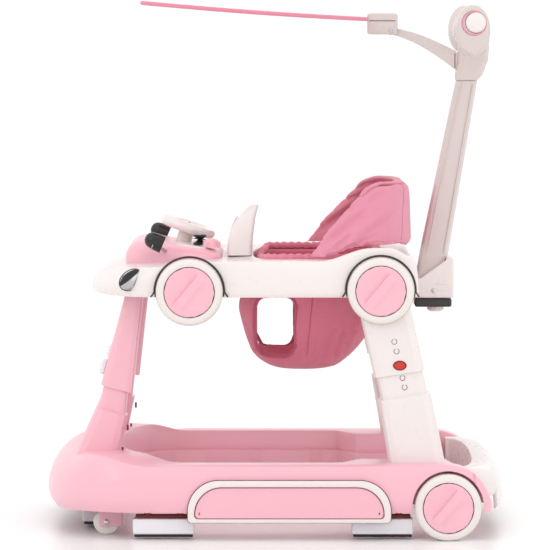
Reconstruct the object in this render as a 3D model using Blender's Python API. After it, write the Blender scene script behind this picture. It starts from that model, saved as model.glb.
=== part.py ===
"""Car-style baby walker with a parent handle and a canopy, standing at its high setting.

+Z is up, the nose points to -X, and the left side is -Y. The origin is on the floor, at the
middle of the length and the width. Every size is in metres.
"""

from math import cos, hypot, pi, radians, sin, sqrt

import bmesh
import bpy
from mathutils import Matrix, Vector

# Overall sizes
LENGTH = 0.724          # nose of the base to the back of the bumper
BASE_WIDTH = 0.580      # over the pink base, without the wheels' outer faces
DECK_HEIGHT = 0.371     # floor to the deck's lower edge, at the high setting

# Walls and clearances
WALL = 0.003            # moulded plastic
CLOTH = 0.005           # padded seat fabric
FIT = 0.0004            # between pieces that are fixed together
RUN = 0.0006            # between pieces that move on each other

# Base
BASE_TAIL = 0.027       # the pink base ends this far in front of the bumper's back
BASE_BOTTOM = 0.042
BASE_EDGE = 0.058       # height of the base's widest line
RIM_OVER_WHEEL = 0.009  # the rim clears the rear wheels' openings by this much
NOSE_RISE = 0.013       # the base's rim is this much higher at the nose
LEDGE_HEIGHT = 0.083
LEDGE_WIDTH = 0.010
RAIL_TOP = 0.056

# Rear wheels
WHEEL_DIAMETER = 0.102
WHEEL_WIDTH = 0.038
WHEEL_PROUD = 0.010     # the wheel stands out of the base's side
WHEEL_INSET = 0.096     # wheel centre to the bumper's back
RING_WIDTH = 0.0125     # of the cream ring round the wheel's cap
CAP_DEPTH = 0.012
AXLE_DIAMETER = 0.008
ARCH_GAP = 0.004

# Casters
CASTER_DIAMETER = 0.0406
CASTER_WIDTH = 0.018
CASTER_TRAIL = 0.012
CASTER_INSET = 0.112    # swivel axis to the nose
CASTER_SPREAD = 0.080   # swivel axis to the base's side
CASTER_PIN = 0.004
CASTER_STEM = 0.008

# Stoppers
STOPPER_LENGTH = 0.095
STOPPER_WIDTH = 0.028
STOPPER_CLEARANCE = 0.0036
STOPPER_TOP = 0.032
FRONT_STOPPER_SIDE = 0.145  # end of the front stopper, from the base's side
STEM_DIAMETER = 0.010

# Side panels
PANEL_BOTTOM = 0.028
PANEL_TOP = 0.093
PANEL_NOSE_GAP = 0.228
PANEL_TAIL_GAP = 0.184
TRIM_WIDTH = 0.010
TRIM_DEPTH = 0.006

# Telescopic legs
TRAVEL = 0.035          # along the front legs
FRONT_LEAN = 0.235      # run over rise
REAR_LEAN = 0.227
FRONT_LEG_WIDTH = 0.052     # of the sleeve at its foot, front to back
FRONT_LEG_THICKNESS = 0.048
FRONT_LEG_INSET = 0.088     # the sleeve's front edge at its foot, from the nose
FRONT_LEG_SPREAD = 0.140    # middle of a front leg, from the base's side
FRONT_FLARE = (0.0052, 0.01856)     # the sleeve's front and back edges close in by this on the way up
FRONT_FOOT = 0.2225
REAR_LEG_WIDTH = 0.081
REAR_LEG_THICKNESS = 0.0525
REAR_LEG_INSET = 0.0455     # the sleeve's outer face from the base's side
REAR_LEG_BACK = 0.1695      # the sleeve's middle, at REAR_FOOT, from the bumper's back
REAR_FOOT = 0.252
REAR_SLOPE = 0.15       # slope of the rear sleeves' lower edge
FRONT_SLOPE = -0.245    # slope of the front sleeves' lower edge
BOOT_GROWTH = 0.002
LEG_SINK = 0.020        # how deep a boot stands inside the base
BUTTON_SIZE = (0.018, 0.023)
BUTTON_PROUD = 0.008
PIN_SIZE = (0.018, 0.013)
PIN_PROUD = 0.003
PIN_TRAVEL = 0.001

# Deck
DECK_NOSE_GAP = 0.070
DECK_TAIL_GAP = 0.140
DECK_INSET = 0.0445     # the deck's side, from the base's side
DECK_DEPTH = 0.055
ARCH_RISE = 0.021       # rear wing above the deck's top
SEAT_FRONT = 0.328      # front of the seat hole, from the nose
SEAT_BACK = 0.194       # back of the seat hole, from the bumper's back
SEAT_SIDE = 0.125       # side of the seat hole, from the base's side
DISC_DIAMETER = 0.103
DISC_DEPTH = 0.014
DISC_RECESS = 0.077
FRONT_DISC = 0.230      # from the nose
REAR_DISC = 0.199       # from the bumper's back
HOOD_LENGTH = 0.152
HOOD_SIDE = 0.168       # side of the play tray, from the base's side
HOOD_NOSE_GAP = 0.126
HOOD_HEIGHT = 0.026
HOOD_TILT = 0.14

# Play tray
STEERING_DIAMETER = 0.090
STEERING_RIM = 0.019
STEERING_TILT = radians(18)
STEERING_PLACE = (0.223, 0.097)    # from the nose, above the deck's lower edge
COLUMN_DIAMETER = 0.024
SPIGOT_DIAMETER = 0.010
MIRROR_DIAMETER = 0.028
MIRROR_ROOT = 0.0028    # the stalk's root, inside the tray's widest line
ROLLER_DIAMETER = 0.022
ROLLER_HEIGHT = 0.016
KNOB_DIAMETER = 0.026
LAMP_SIZE = (0.043, 0.031, 0.016)
GRAB_HEIGHT = 0.079
GRAB_WIDTH = 0.180
GRAB_SLOT = (0.30, 0.72)        # shares of the guard's height
GRAB_SLOT_WIDTH = 0.55          # share of the guard's width
# Share of the guard's height, its front and back edges, and its share of the width.
GRAB_PROFILE = (
    (0.0, 0.0, 0.039, 1.0),
    (0.25, 0.001, 0.040, 1.0),
    (0.5, 0.006, 0.042, 0.97),
    (0.72, 0.016, 0.044, 0.9),
    (0.9, 0.028, 0.048, 0.8),
    (1.0, 0.038, 0.050, 0.72),
)

# Seat
SLING_DROP = 0.128      # deck's lower edge to the crotch
LEG_HOLE_LENGTH = 0.060  # of each leg's hole, front to back
BACKREST_HEIGHT = 0.179  # deck's lower edge to the top of the backrest
BACKREST_PAD = 0.012
# Share of the backrest's height, how far its front and back edges lean, and its share of the width.
BACKREST_PROFILE = (
    (0.0, 0.012, -0.002, 0.97),
    (0.35, 0.034, -0.003, 0.88),
    (0.7, 0.062, -0.004, 0.76),
    (0.92, 0.085, -0.007, 0.66),
    (1.0, 0.105, -0.014, 0.56),
)

# Parent handle
POLE_LEAN = 0.1865
POLE_TOP = 0.331        # above the deck's lower edge
POLE_WIDTH = (0.045, 0.034)
POLE_THICKNESS = (0.044, 0.036)
POLE_BASE = 0.010       # the pole's foot above the deck's lower edge
POLE_GAP = 0.0015       # deck's back to the pole's foot
SOCKET_LENGTH = 0.062
SOCKET_WIDTH = 0.064
SOCKET_HEIGHT = 0.065
BRACKET_DEPTH = 0.014
BRACKET_HALF = 0.028
HANDLE_KNOB_DIAMETER = 0.026
# Share of the collar's height, and how far it reaches to the front and to the back.
NECK_PROFILE = ((0, 0.018, 0.018), (0.12, 0.020, 0.024), (0.5, 0.021, 0.030), (1.0, 0.024, 0.028))
GRIP_LENGTH = 0.300
GRIP_SIZE = (0.054, 0.080)
GRIP_HUB = 0.052
GRIP_RISE = 0.411       # grip axis above the deck's lower edge
GRIP_BUTTON = 0.032
CANOPY_LENGTH = 0.359
CANOPY_WIDTH = 0.300
CANOPY_THICKNESS = 0.006
CANOPY_FALL = 0.066     # fall over run, towards the back
CLAMP_SIZE = (0.048, 0.040, 0.034)
ARM_WIDTH = 0.019
ARM_REACH = 0.125       # grip axis to the canopy's rivet
CLAMP_RISE = 0.0105     # clamp's middle above the rivet
HOOP_DROP = 0.0095      # canopy below the clamp's top
RIVET_DIAMETER = 0.005

NOSE = -LENGTH / 2
TAIL = LENGTH / 2
HALF = BASE_WIDTH / 2
BASE_RIM = WHEEL_DIAMETER + ARCH_GAP + RIM_OVER_WHEEL
SEAT_HALF = HALF - SEAT_SIDE
HOOD_HALF = HALF - HOOD_SIDE
FRONT_LEG_Y = HALF - FRONT_LEG_SPREAD
BASE_END = TAIL - BASE_TAIL
DECK_HALF = HALF - DECK_INSET
DECK_NOSE = NOSE + DECK_NOSE_GAP
DECK_END = TAIL - DECK_TAIL_GAP
DECK_TOP = DECK_HEIGHT + DECK_DEPTH
WHEEL_X = TAIL - WHEEL_INSET
WHEEL_Z = WHEEL_DIAMETER / 2
CAP_DIAMETER = WHEEL_DIAMETER - 2 * RING_WIDTH
DROP = TRAVEL / hypot(1, FRONT_LEAN)
POLE_FOOT = DECK_HEIGHT + POLE_BASE
POLE_X = DECK_END + POLE_GAP   # front edge of the pole at its foot
SIDES = (("left", -1), ("right", 1))

FINISHES = {
    "pink_plastic": ((0.80, 0.46, 0.51), 0.35, 0.0),
    "white_plastic": ((0.82, 0.76, 0.74), 0.35, 0.0),
    "gloss_white": ((0.84, 0.78, 0.77), 0.15, 0.0),
    "black_plastic": ((0.03, 0.03, 0.03), 0.30, 0.0),
    "red_plastic": ((0.55, 0.05, 0.04), 0.30, 0.0),
    "pink_cloth": ((0.75, 0.22, 0.34), 0.85, 0.0),
    "canopy_cloth": ((0.85, 0.38, 0.47), 0.80, 0.0),
    "clear_lens": ((0.45, 0.45, 0.47), 0.10, 0.2),
    "steel": ((0.60, 0.60, 0.62), 0.25, 1.0),
}


def make(name, bm, finish, origin=(0, 0, 0)):
    """An object from a bmesh whose points are in world space, with its own origin and material."""
    bmesh.ops.recalc_face_normals(bm, faces=bm.faces)
    bmesh.ops.translate(bm, verts=bm.verts, vec=-Vector(origin))
    mesh = bpy.data.meshes.new(name)
    bm.to_mesh(mesh)
    bm.free()
    piece = bpy.data.objects.new(name, mesh)
    piece.location = origin
    bpy.context.collection.objects.link(piece)
    mesh.shade_smooth()
    mesh.set_sharp_from_angle(angle=radians(35))
    colour, roughness, metallic = FINISHES[finish]
    material = bpy.data.materials.new(name + "_" + finish)
    material.use_nodes = True
    shader = material.node_tree.nodes["Principled BSDF"]
    shader.inputs["Base Color"].default_value = (*colour, 1.0)
    shader.inputs["Roughness"].default_value = roughness
    shader.inputs["Metallic"].default_value = metallic
    mesh.materials.append(material)
    return piece


def helper(name, bm):
    """A shape that only cuts or joins others."""
    tool = make(name, bm, "steel")
    tool.hide_render = True
    tool.display_type = "WIRE"
    return tool


def boolean(piece, tool, operation="DIFFERENCE"):
    modifier = piece.modifiers.new(tool.name, "BOOLEAN")
    modifier.operation = operation
    modifier.solver = "EXACT"
    modifier.object = tool


def loft(rings, closed=False):
    """A solid through rings of matching points, capped at its ends, or closed into a loop."""
    bm = bmesh.new()
    made = [[bm.verts.new(point) for point in ring] for ring in rings]
    following = made[1:] + (made[:1] if closed else [])
    for lower, upper in zip(made, following):
        for k in range(len(lower)):
            bm.faces.new((lower[k - 1], lower[k], upper[k], upper[k - 1]))
    if not closed:
        bm.faces.new(made[0])
        bm.faces.new(made[-1])
    return bm


def lathe(profile, segments):
    """A turned solid about Z. The profile is (radius, height) pairs, and starts and ends on the axis."""
    bm = bmesh.new()
    points = [bm.verts.new((radius, 0, height)) for radius, height in profile]
    edges = [bm.edges.new(pair) for pair in zip(points, points[1:])]
    bmesh.ops.spin(
        bm, geom=points + edges, cent=(0, 0, 0), axis=(0, 0, 1), angle=2 * pi, steps=segments, use_merge=True
    )
    bmesh.ops.remove_doubles(bm, verts=bm.verts, dist=1e-6)
    return bm


def hollow_lathe(profile, segments):
    """A turned ring about Z, from a closed profile that stays off the axis."""
    rings = []
    for k in range(segments):
        angle = 2 * pi * k / segments
        rings.append([(r * cos(angle), r * sin(angle), h) for r, h in profile])
    return loft(rings, closed=True)


def placed(bm, place, axis=(0, 0, 1)):
    """Turns a bmesh so that its Z lies along an axis, and moves it."""
    turn = Vector((0, 0, 1)).rotation_difference(Vector(axis)).to_matrix().to_4x4()
    bmesh.ops.transform(bm, verts=bm.verts, matrix=Matrix.Translation(place) @ turn)
    return bm


def cylinder(radius, start, end, segments=24):
    """A plain rod between two points."""
    run = Vector(end) - Vector(start)
    bm = bmesh.new()
    bmesh.ops.create_cone(
        bm, cap_ends=True, segments=segments, radius1=radius, radius2=radius, depth=run.length
    )
    return placed(bm, (Vector(start) + Vector(end)) / 2, run)


def block(low, high, bevel=0.0, segments=2):
    """A box between two corners, with rounded edges."""
    low, high = Vector(low), Vector(high)
    bm = bmesh.new()
    bmesh.ops.create_cube(bm, size=1)
    bmesh.ops.scale(bm, vec=high - low, verts=bm.verts)
    bmesh.ops.translate(bm, vec=(low + high) / 2, verts=bm.verts)
    if bevel:
        bmesh.ops.bevel(
            bm, geom=bm.edges[:], offset=bevel, segments=segments, profile=0.5, affect="EDGES", material=-1
        )
    return bm


def rounded_rectangle(x0, x1, y0, y1, radius, steps=2):
    corners = (
        (x1 - radius, y1 - radius, 0),
        (x0 + radius, y1 - radius, 90),
        (x0 + radius, y0 + radius, 180),
        (x1 - radius, y0 + radius, 270),
    )
    points = []
    for centre_x, centre_y, start in corners:
        for k in range(steps + 1):
            angle = radians(start + 90 * k / steps)
            points.append((centre_x + radius * cos(angle), centre_y + radius * sin(angle)))
    return points


def level_ring(x0, x1, y0, y1, radius, z, slope=0.0):
    """A rounded rectangle at one height, which may slope along X."""
    middle = (x0 + x1) / 2
    return [(x, y, z + slope * (x - middle)) for x, y in rounded_rectangle(x0, x1, y0, y1, radius)]


def smooth_step(value, low, high):
    share = min(max((value - low) / (high - low), 0), 1)
    return share * share * (3 - 2 * share)


# ---------------------------------------------------------------- ring-shaped shells

def nose_arc(front, half, depth, power, steps):
    """Points from the nose to the side, on one quarter of a rounded rectangle-like oval."""
    points = []
    for k in range(steps + 1):
        angle = radians(90 * k / steps)
        x = front + depth * (1 - cos(angle) ** (2 / power))
        points.append((x, half * sin(angle) ** (2 / power)))
    return points


def corner_arc(rear, half, radius, steps):
    points = []
    for k in range(1, steps + 1):
        angle = radians(90 - 90 * k / steps)
        points.append((rear - radius + radius * cos(angle), half - radius + radius * sin(angle)))
    return points


CROWN_SHARES = (0.0, 0.12, 0.42, 1.0)


def shell_section(outer, inner, crown, undercut, heights, wall, ledge=None):
    """The cross-section of a ring-shaped shell that is open underneath.

    heights are the lower lip, the widest line, the crown's top, the inner rim and the inner wall's foot.
    """
    lip, edge, top, rim, foot = heights
    outer, inner = Vector(outer), Vector(inner)
    inward = (inner - outer).normalized()

    def at(base, distance, z):
        point = base + inward * distance
        return (point.x, point.y, z)

    skin = [at(outer, undercut, lip)]
    back = [at(outer, undercut + wall, lip)]
    for share in CROWN_SHARES:
        rise = sqrt(1 - (1 - share) ** 2)
        z = edge + (top - edge) * rise
        skin.append(at(outer, crown * share, z))
        back.append(at(outer, crown * share + wall * (1 - 0.6 * rise), z - wall * rise))
    skin.append(at(inner, 0, rim))
    back.append(at(inner, -wall, rim - wall))
    if ledge:
        height, width = ledge
        skin += [at(inner, 0, height), at(inner, width, height - 0.002), at(inner, width, foot)]
        back += [at(inner, -wall, height - wall), at(inner, width - wall, height - 0.002 - wall)]
        back += [at(inner, width - wall, foot)]
    else:
        skin.append(at(inner, 0, foot))
        back.append(at(inner, -wall, foot))
    return skin + back[::-1]


def both_sides(half_sections):
    """Half a ring of sections, nose to tail, completed with its mirror image."""
    mirrored = [[(x, -y, z) for x, y, z in ring] for ring in half_sections[1:-1]]
    return half_sections + mirrored[::-1]


# ---------------------------------------------------------------- base

def fender_height(x):
    """The base's rim, which falls behind the rear wheel along a curve round the wheel's centre."""
    if x <= WHEEL_X:
        rise = NOSE_RISE * (1 - smooth_step(x, NOSE + 0.06, NOSE + 0.16))
        return BASE_RIM + rise
    reach = BASE_END - WHEEL_X + 0.0001
    fall = sqrt(max(1 - ((x - WHEEL_X) / reach) ** 2, 0))
    return max(RAIL_TOP, WHEEL_Z + (BASE_RIM - WHEEL_Z) * fall)


def inner_half_width(x):
    """The base's inner wall steps inwards where it carries the rear legs."""
    wide = HALF - 0.055
    legs = HALF - 0.107
    fender = HALF - 0.048
    start = TAIL - 0.262
    if x < start:
        return wide
    if x < TAIL - 0.090:
        return wide - (wide - legs) * smooth_step(x, start, start + 0.035)
    return fender


def base_sections():
    inner_nose = nose_arc(NOSE + 0.117, HALF - 0.055, 0.100, 2.6, 7)
    outer_nose = nose_arc(NOSE, HALF, 0.165, 2.6, 7)
    sections = []
    for outer, inner in zip(outer_nose, inner_nose):
        reach = abs(outer[1]) / HALF
        crown = 0.060 - 0.038 * smooth_step(reach, 0.6, 1.0)
        lip = BASE_BOTTOM - 0.007 * (1 - smooth_step(reach, 0.5, 1.0))
        top = fender_height(outer[0])
        heights = (lip, BASE_EDGE, top, top, BASE_BOTTOM)
        sections.append(shell_section(outer, inner, crown, 0.010, heights, WALL, (LEDGE_HEIGHT, LEDGE_WIDTH)))
    start, end = outer_nose[-1][0], BASE_END - 0.030
    step = TAIL - 0.262
    side = [start + (step - start) * share for share in (0.5, 1.0)]
    side += [step + 0.035, step + 0.10, TAIL - 0.0902, TAIL - 0.082, end - 0.012, end]
    for x in side:
        top = fender_height(x)
        heights = (BASE_BOTTOM, BASE_EDGE, top, top, BASE_BOTTOM)
        width = LEDGE_WIDTH if x < TAIL - 0.095 else 0.0005
        section = shell_section(
            (x, HALF), (x, inner_half_width(x)), 0.022, 0.005, heights, WALL, (LEDGE_HEIGHT, width)
        )
        sections.append(section)
    outer_corner = corner_arc(BASE_END, HALF, 0.030, 4) + [(BASE_END, 0)]
    inner_corner = corner_arc(BASE_END - 0.025, HALF - 0.048, 0.012, 4) + [(BASE_END - 0.025, 0)]
    for outer, inner in zip(outer_corner, inner_corner):
        top = fender_height(outer[0])
        edge = min(BASE_EDGE, top - 0.006)
        ledge = min(LEDGE_HEIGHT, top - 0.001)
        heights = (BASE_BOTTOM, edge, top, top, BASE_BOTTOM)
        sections.append(shell_section(outer, inner, 0.008, 0.002, heights, WALL, (ledge, 0.0005)))
    return sections


def base_shell():
    return make("base_shell", loft(both_sides(base_sections()), closed=True), "pink_plastic")


def shell_axle_holes(shell):
    """Holes in the inner walls, which carry the axle."""
    reach = HALF - 0.030
    hole = cylinder(AXLE_DIAMETER / 2 + FIT, (WHEEL_X, -reach, WHEEL_Z), (WHEEL_X, reach, WHEEL_Z), 16)
    boolean(shell, helper("axle_hole", hole))


def shell_arches(shell):
    """The wheels' openings in the outer walls, round the wheels."""
    for side, sign in SIDES:
        inner, outer = sign * (HALF + WHEEL_PROUD - WHEEL_WIDTH - ARCH_GAP), sign * (HALF + 0.02)
        arch = cylinder(
            WHEEL_DIAMETER / 2 + ARCH_GAP, (WHEEL_X, inner, WHEEL_Z), (WHEEL_X, outer, WHEEL_Z), 32
        )
        boolean(shell, helper("wheel_arch_" + side, arch))


def caster_place(sign):
    return NOSE + CASTER_INSET, sign * (HALF - CASTER_SPREAD)


def shell_caster_bosses(shell):
    """Bosses inside the nose that the casters' stems turn in."""
    for side, sign in SIDES:
        x, y = caster_place(sign)
        top = BASE_RIM + NOSE_RISE - WALL / 2
        boss = cylinder(0.012, (x, y, 0.0475), (x, y, top), 16)
        boolean(shell, helper("caster_boss_" + side, boss), "UNION")
        hole = cylinder(CASTER_STEM / 2 + RUN, (x, y, 0.04), (x, y, 0.0875), 16)
        boolean(shell, helper("caster_hole_" + side, hole))


def rear_bumper():
    """A white crescent between the fenders, a shell that is open underneath."""
    start = TAIL - 0.079
    outer_half, inner_half = HALF - 0.0520, HALF - 0.088
    sections = []
    steps = 8
    for k in range(-steps, steps + 1):
        angle = radians(90 * k / steps)
        share = abs(cos(angle))
        outer = (start + (TAIL - start) * share ** (2 / 3.0), outer_half * sin(angle) / abs(sin(angle) or 1)
                 * abs(sin(angle)) ** (2 / 3.0))
        depth = share ** (2 / 2.6)
        inner = (start + (TAIL - 0.050 - start) * depth, inner_half * sin(angle) / abs(sin(angle) or 1)
                 * abs(sin(angle)) ** (2 / 2.6))
        past_rail = outer[0] > BASE_END + 0.012
        lip = RAIL_TOP - 0.020 if past_rail else RAIL_TOP + 0.0025
        edge = lip + 0.012
        heights = (lip, edge, 0.1055, 0.1055, RAIL_TOP + 0.006)
        sections.append(shell_section(outer, inner, 0.030 - 0.018 * (1 - share), 0.004, heights, WALL))
    make("rear_bumper", loft(sections), "white_plastic")


def panel_outline(inset):
    """Points of the side panel's outline: straight below, with large round upper corners."""
    x0, x1 = NOSE + PANEL_NOSE_GAP + inset, TAIL - PANEL_TAIL_GAP - inset
    z0, z1 = PANEL_BOTTOM + inset * 0.6, PANEL_TOP - inset
    low, high = 0.006, 0.048 - inset * 0.6
    points = []
    corners = ((x1 - low, z0 + low, low, -90), (x1 - high, z1 - high, high, 0),
               (x0 + high, z1 - high, high, 90), (x0 + low, z0 + low, low, 180))
    for x, z, radius, first in corners:
        for k in range(6):
            angle = radians(first + 18 * k)
            points.append((x + radius * cos(angle), z + radius * sin(angle)))
    return points


def upright_plate(outline, y0, y1):
    return loft([[(x, y, z) for x, z in outline] for y in (y0, y1)])


def side_panels():
    for side, sign in SIDES:
        inner, face = HALF + 2 * FIT, HALF + 2 * FIT + TRIM_DEPTH
        plate = upright_plate(panel_outline(0), sign * inner, sign * face)
        frame = make("side_trim_" + side, plate, "white_plastic")
        window = upright_plate(panel_outline(TRIM_WIDTH), sign * (inner - 0.01), sign * (face + 0.01))
        boolean(frame, helper("trim_window_" + side, window))
        panel = upright_plate(panel_outline(TRIM_WIDTH + FIT), sign * inner, sign * (face - 0.002))
        make("side_panel_" + side, panel, "pink_plastic")


def rear_wheels():
    """Turned tyres on the axle, each with a round cap let into its outer face."""
    radius, cap = WHEEL_DIAMETER / 2, CAP_DIAMETER / 2
    bore = AXLE_DIAMETER / 2 + RUN
    for side, sign in SIDES:
        centre = (WHEEL_X, sign * (HALF + WHEEL_PROUD - WHEEL_WIDTH), WHEEL_Z)
        tyre = ((bore, 0), (radius - 0.016, 0), (radius - 0.004, 0.003), (radius, 0.009),
                (radius, WHEEL_WIDTH - 0.008), (radius - 0.004, WHEEL_WIDTH - 0.001),
                (cap + 0.002, WHEEL_WIDTH), (cap + FIT, WHEEL_WIDTH - 0.002),
                (cap + FIT, WHEEL_WIDTH - CAP_DEPTH), (bore, WHEEL_WIDTH - CAP_DEPTH))
        axis = (0, sign, 0)
        origin = (WHEEL_X, sign * (HALF + WHEEL_PROUD - WHEEL_WIDTH / 2), WHEEL_Z)
        make("rear_wheel_" + side, placed(hollow_lathe(tyre, 28), centre, axis), "white_plastic", origin)
        low = WHEEL_WIDTH - CAP_DEPTH + FIT
        disc = ((0, low), (cap, low), (cap, WHEEL_WIDTH - 0.003), (cap - 0.003, WHEEL_WIDTH - 0.001),
                (cap * 0.5, WHEEL_WIDTH + 0.0005), (0, WHEEL_WIDTH + 0.001))
        make("rear_hub_cap_" + side, placed(lathe(disc, 24), centre, axis), "pink_plastic", origin)


def rear_axle():
    reach = HALF + WHEEL_PROUD - CAP_DEPTH - FIT
    rod = cylinder(AXLE_DIAMETER / 2, (WHEEL_X, -reach, WHEEL_Z), (WHEEL_X, reach, WHEEL_Z), 20)
    make("rear_axle", rod, "steel")


def casters():
    """Forks that turn in the nose's bosses, each with a small wheel on a pin."""
    radius, half = CASTER_DIAMETER / 2, CASTER_WIDTH / 2
    for side, sign in SIDES:
        x, y = caster_place(sign)
        axle_x, cheek = x - CASTER_TRAIL, half + RUN + 0.0035
        fork = make(
            "caster_fork_" + side,
            block((axle_x - 0.010, y - cheek, 0.013), (x + 0.014, y + cheek, 0.0464), 0.003),
            "pink_plastic", (x, y, radius),
        )
        room = half + RUN
        slot = cylinder(radius + 0.0015, (axle_x, y - room, radius), (axle_x, y + room, radius), 20)
        boolean(fork, helper("caster_slot_" + side, slot))
        reach = cheek + 0.001
        pin = cylinder(CASTER_PIN / 2, (axle_x, y - reach, radius), (axle_x, y + reach, radius), 12)
        boolean(fork, helper("caster_pin_" + side, pin), "UNION")
        stem = cylinder(CASTER_STEM / 2, (x, y, 0.043), (x, y, 0.0865), 16)
        boolean(fork, helper("caster_stem_" + side, stem), "UNION")
        profile = ((CASTER_PIN / 2 + RUN, -half), (radius - 0.005, -half), (radius - 0.001, -half + 0.002),
                   (radius, -half + 0.005), (radius, half - 0.005), (radius - 0.001, half - 0.002),
                   (radius - 0.005, half), (CASTER_PIN / 2 + RUN, half))
        wheel = placed(hollow_lathe(profile, 20), (axle_x, y, radius), (0, 1, 0))
        make("caster_wheel_" + side, wheel, "white_plastic", (axle_x, y, radius))


def stopper(name, x0, x1, y0, y1, low, high, stems):
    """A pad with a rounded outline, on two stems that reach up inside the base."""
    rings = [level_ring(x0 + e, x1 - e, y0 + e, y1 - e, 0.006, z)
             for e, z in ((0.001, low), (0, low + 0.002), (0, high - 0.001), (0.001, high))]
    pad = make(name, loft(rings), "white_plastic")
    for number, (x, y) in enumerate(stems):
        top = BASE_RIM - 2 * WALL
        stem = cylinder(STEM_DIAMETER / 2, (x, y, high - 0.004), (x, y, top), 12)
        boolean(pad, helper(f"{name}_stem_{number}", stem), "UNION")


def stoppers():
    low = STOPPER_CLEARANCE
    for side, sign in SIDES:
        y = sign * (HALF - 0.028)
        y0, y1 = y - STOPPER_WIDTH / 2, y + STOPPER_WIDTH / 2
        middle_x = NOSE + 0.143
        rear_x = WHEEL_X - WHEEL_DIAMETER / 2 - 0.002 - STOPPER_LENGTH
        for name, x in (("middle_stopper_", middle_x), ("rear_stopper_", rear_x)):
            stems = ((x + 0.022, y), (x + STOPPER_LENGTH - 0.022, y))
            stopper(name + side, x, x + STOPPER_LENGTH, y0, y1, low, STOPPER_TOP, stems)
    x0 = NOSE + 0.059
    half = HALF - FRONT_STOPPER_SIDE
    stems = [(x0 + 0.018, sign * half * 0.586) for _, sign in SIDES]
    stopper("front_stopper", x0, x0 + 0.038, -half, half, low + 0.003, STOPPER_TOP + 0.005, stems)


# ---------------------------------------------------------------- legs

def front_edges(z):
    """Front and back edges of the front legs' sleeves at a height."""
    rise = z - FRONT_FOOT
    share = rise / (DECK_HEIGHT - FRONT_FOOT)
    front = NOSE + FRONT_LEG_INSET + FRONT_LEAN * rise + FRONT_FLARE[0] * share
    back = NOSE + FRONT_LEG_INSET + FRONT_LEG_WIDTH + FRONT_LEAN * rise - FRONT_FLARE[1] * share
    return front, back


def front_tube_edges(z):
    """The tube is the sleeve's own shape, met at the low setting, less the wall and the clearance."""
    front, back = front_edges(z + DROP)
    shift = FRONT_LEAN * DROP
    return front - shift + WALL + RUN, back - shift - WALL - RUN


def leg_ring(edges_at, z, y, half, grow=0.0, slope=0.0, radius=0.010):
    """A leg's section, whose sloping end follows the leg's own edges."""
    x0, x1 = edges_at(z)
    y0, y1 = y - half - grow, y + half + grow
    rounding = min(radius, (x1 - x0) * 0.35, half * 0.7)
    ring = []
    for x, side_y, height in level_ring(x0 - grow, x1 + grow, y0, y1, rounding, z, slope):
        front, back = edges_at(height)
        share = (x - x0) / (x1 - x0)
        ring.append((front + (back - front) * share, side_y, height))
    return ring


def with_well(piece, tool_name, rings):
    """Cuts a leg's well, which runs on below the leg."""
    below = [(x, y, z - 0.010) for x, y, z in rings[0]]
    boolean(piece, helper(tool_name, loft([below] + rings)))


def front_boot_edges(z):
    """The boot widens downwards from just outside the lowered sleeve's foot."""
    top = FRONT_FOOT - DROP - 0.001
    front, back = front_edges(FRONT_FOOT)
    shift = FRONT_LEAN * DROP
    fall = top - z
    return front - shift - 0.001 - 0.45 * fall, back - shift + 0.001 - 0.22 * fall


def front_boot_rings(y, grow=0.0):
    half = FRONT_LEG_THICKNESS / 2 + BOOT_GROWTH
    top = FRONT_FOOT - DROP - 0.001
    foot = BASE_RIM - LEG_SINK
    rings = []
    for share, spread in ((1.0, 0.004), (0.5, 0.002), (0.0, 0.0)):
        z = top - (top - foot) * share
        rings.append(leg_ring(front_boot_edges, z, y, half + spread, grow, FRONT_SLOPE * (1 - share), 0.014))
    return rings


def front_legs(shell):
    """Boots let into the nose, with the tapered tubes that the deck's sleeves slide on."""
    for side, sign in SIDES:
        y = sign * FRONT_LEG_Y
        half = FRONT_LEG_THICKNESS / 2
        rings = front_boot_rings(y)
        top = FRONT_FOOT - DROP - 0.001
        head = min(FRONT_FOOT + 0.078, DECK_HEIGHT - 2 * DROP)
        for z, slope in ((top + 0.0005, FRONT_SLOPE), (head, 0.0)):
            rings.append(leg_ring(front_tube_edges, z, y, half - WALL - RUN, 0.0, slope, 0.008))
        make("front_leg_" + side, loft(rings), "pink_plastic")
        with_well(shell, "front_leg_well_" + side, front_boot_rings(y, FIT))


def front_sleeves():
    """Tapered sleeves fixed under the deck, each with its release button in the front wall."""
    head = DECK_TOP - 0.026
    half = FRONT_LEG_THICKNESS / 2
    cavity_top = DECK_HEIGHT - 0.020
    for side, sign in SIDES:
        y = sign * FRONT_LEG_Y
        rings = [leg_ring(front_edges, FRONT_FOOT, y, half, 0.0, FRONT_SLOPE)]
        rings += [leg_ring(front_edges, z, y, half) for z in (DECK_HEIGHT - 0.02, head)]
        sleeve = make("front_sleeve_" + side, loft(rings), "pink_plastic")
        low = FRONT_FOOT - 0.03
        cavity = [leg_ring(front_edges, z, y, half, -WALL, 0.0, 0.008) for z in (low, cavity_top)]
        boolean(sleeve, helper("front_sleeve_bore_" + side, loft(cavity)))
        width, height = BUTTON_SIZE
        z0 = FRONT_FOOT + 0.0225
        z1 = z0 + height

        def button_rings(grow, depth):
            made = []
            for z in (z0 - grow, z1 + grow):
                face = front_edges(z)[0]
                edges = (face - BUTTON_PROUD - grow, face + depth)
                made.append(level_ring(*edges, y - width / 2 - grow, y + width / 2 + grow, 0.002, z))
            return made

        origin = (front_edges((z0 + z1) / 2)[0], y, (z0 + z1) / 2)
        make("release_button_" + side, loft(button_rings(0, 0.0008)), "white_plastic", origin)
        boolean(sleeve, helper("button_hole_" + side, loft(button_rings(FIT, 0.006))))


def rear_edges(z):
    """Front and back edges of the rear legs' sleeves at a height."""
    middle = TAIL - REAR_LEG_BACK - REAR_LEAN * (z - REAR_FOOT)
    return middle - REAR_LEG_WIDTH / 2, middle + REAR_LEG_WIDTH / 2


def rear_leg_y(sign):
    return sign * (HALF - REAR_LEG_INSET - REAR_LEG_THICKNESS / 2)


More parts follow.
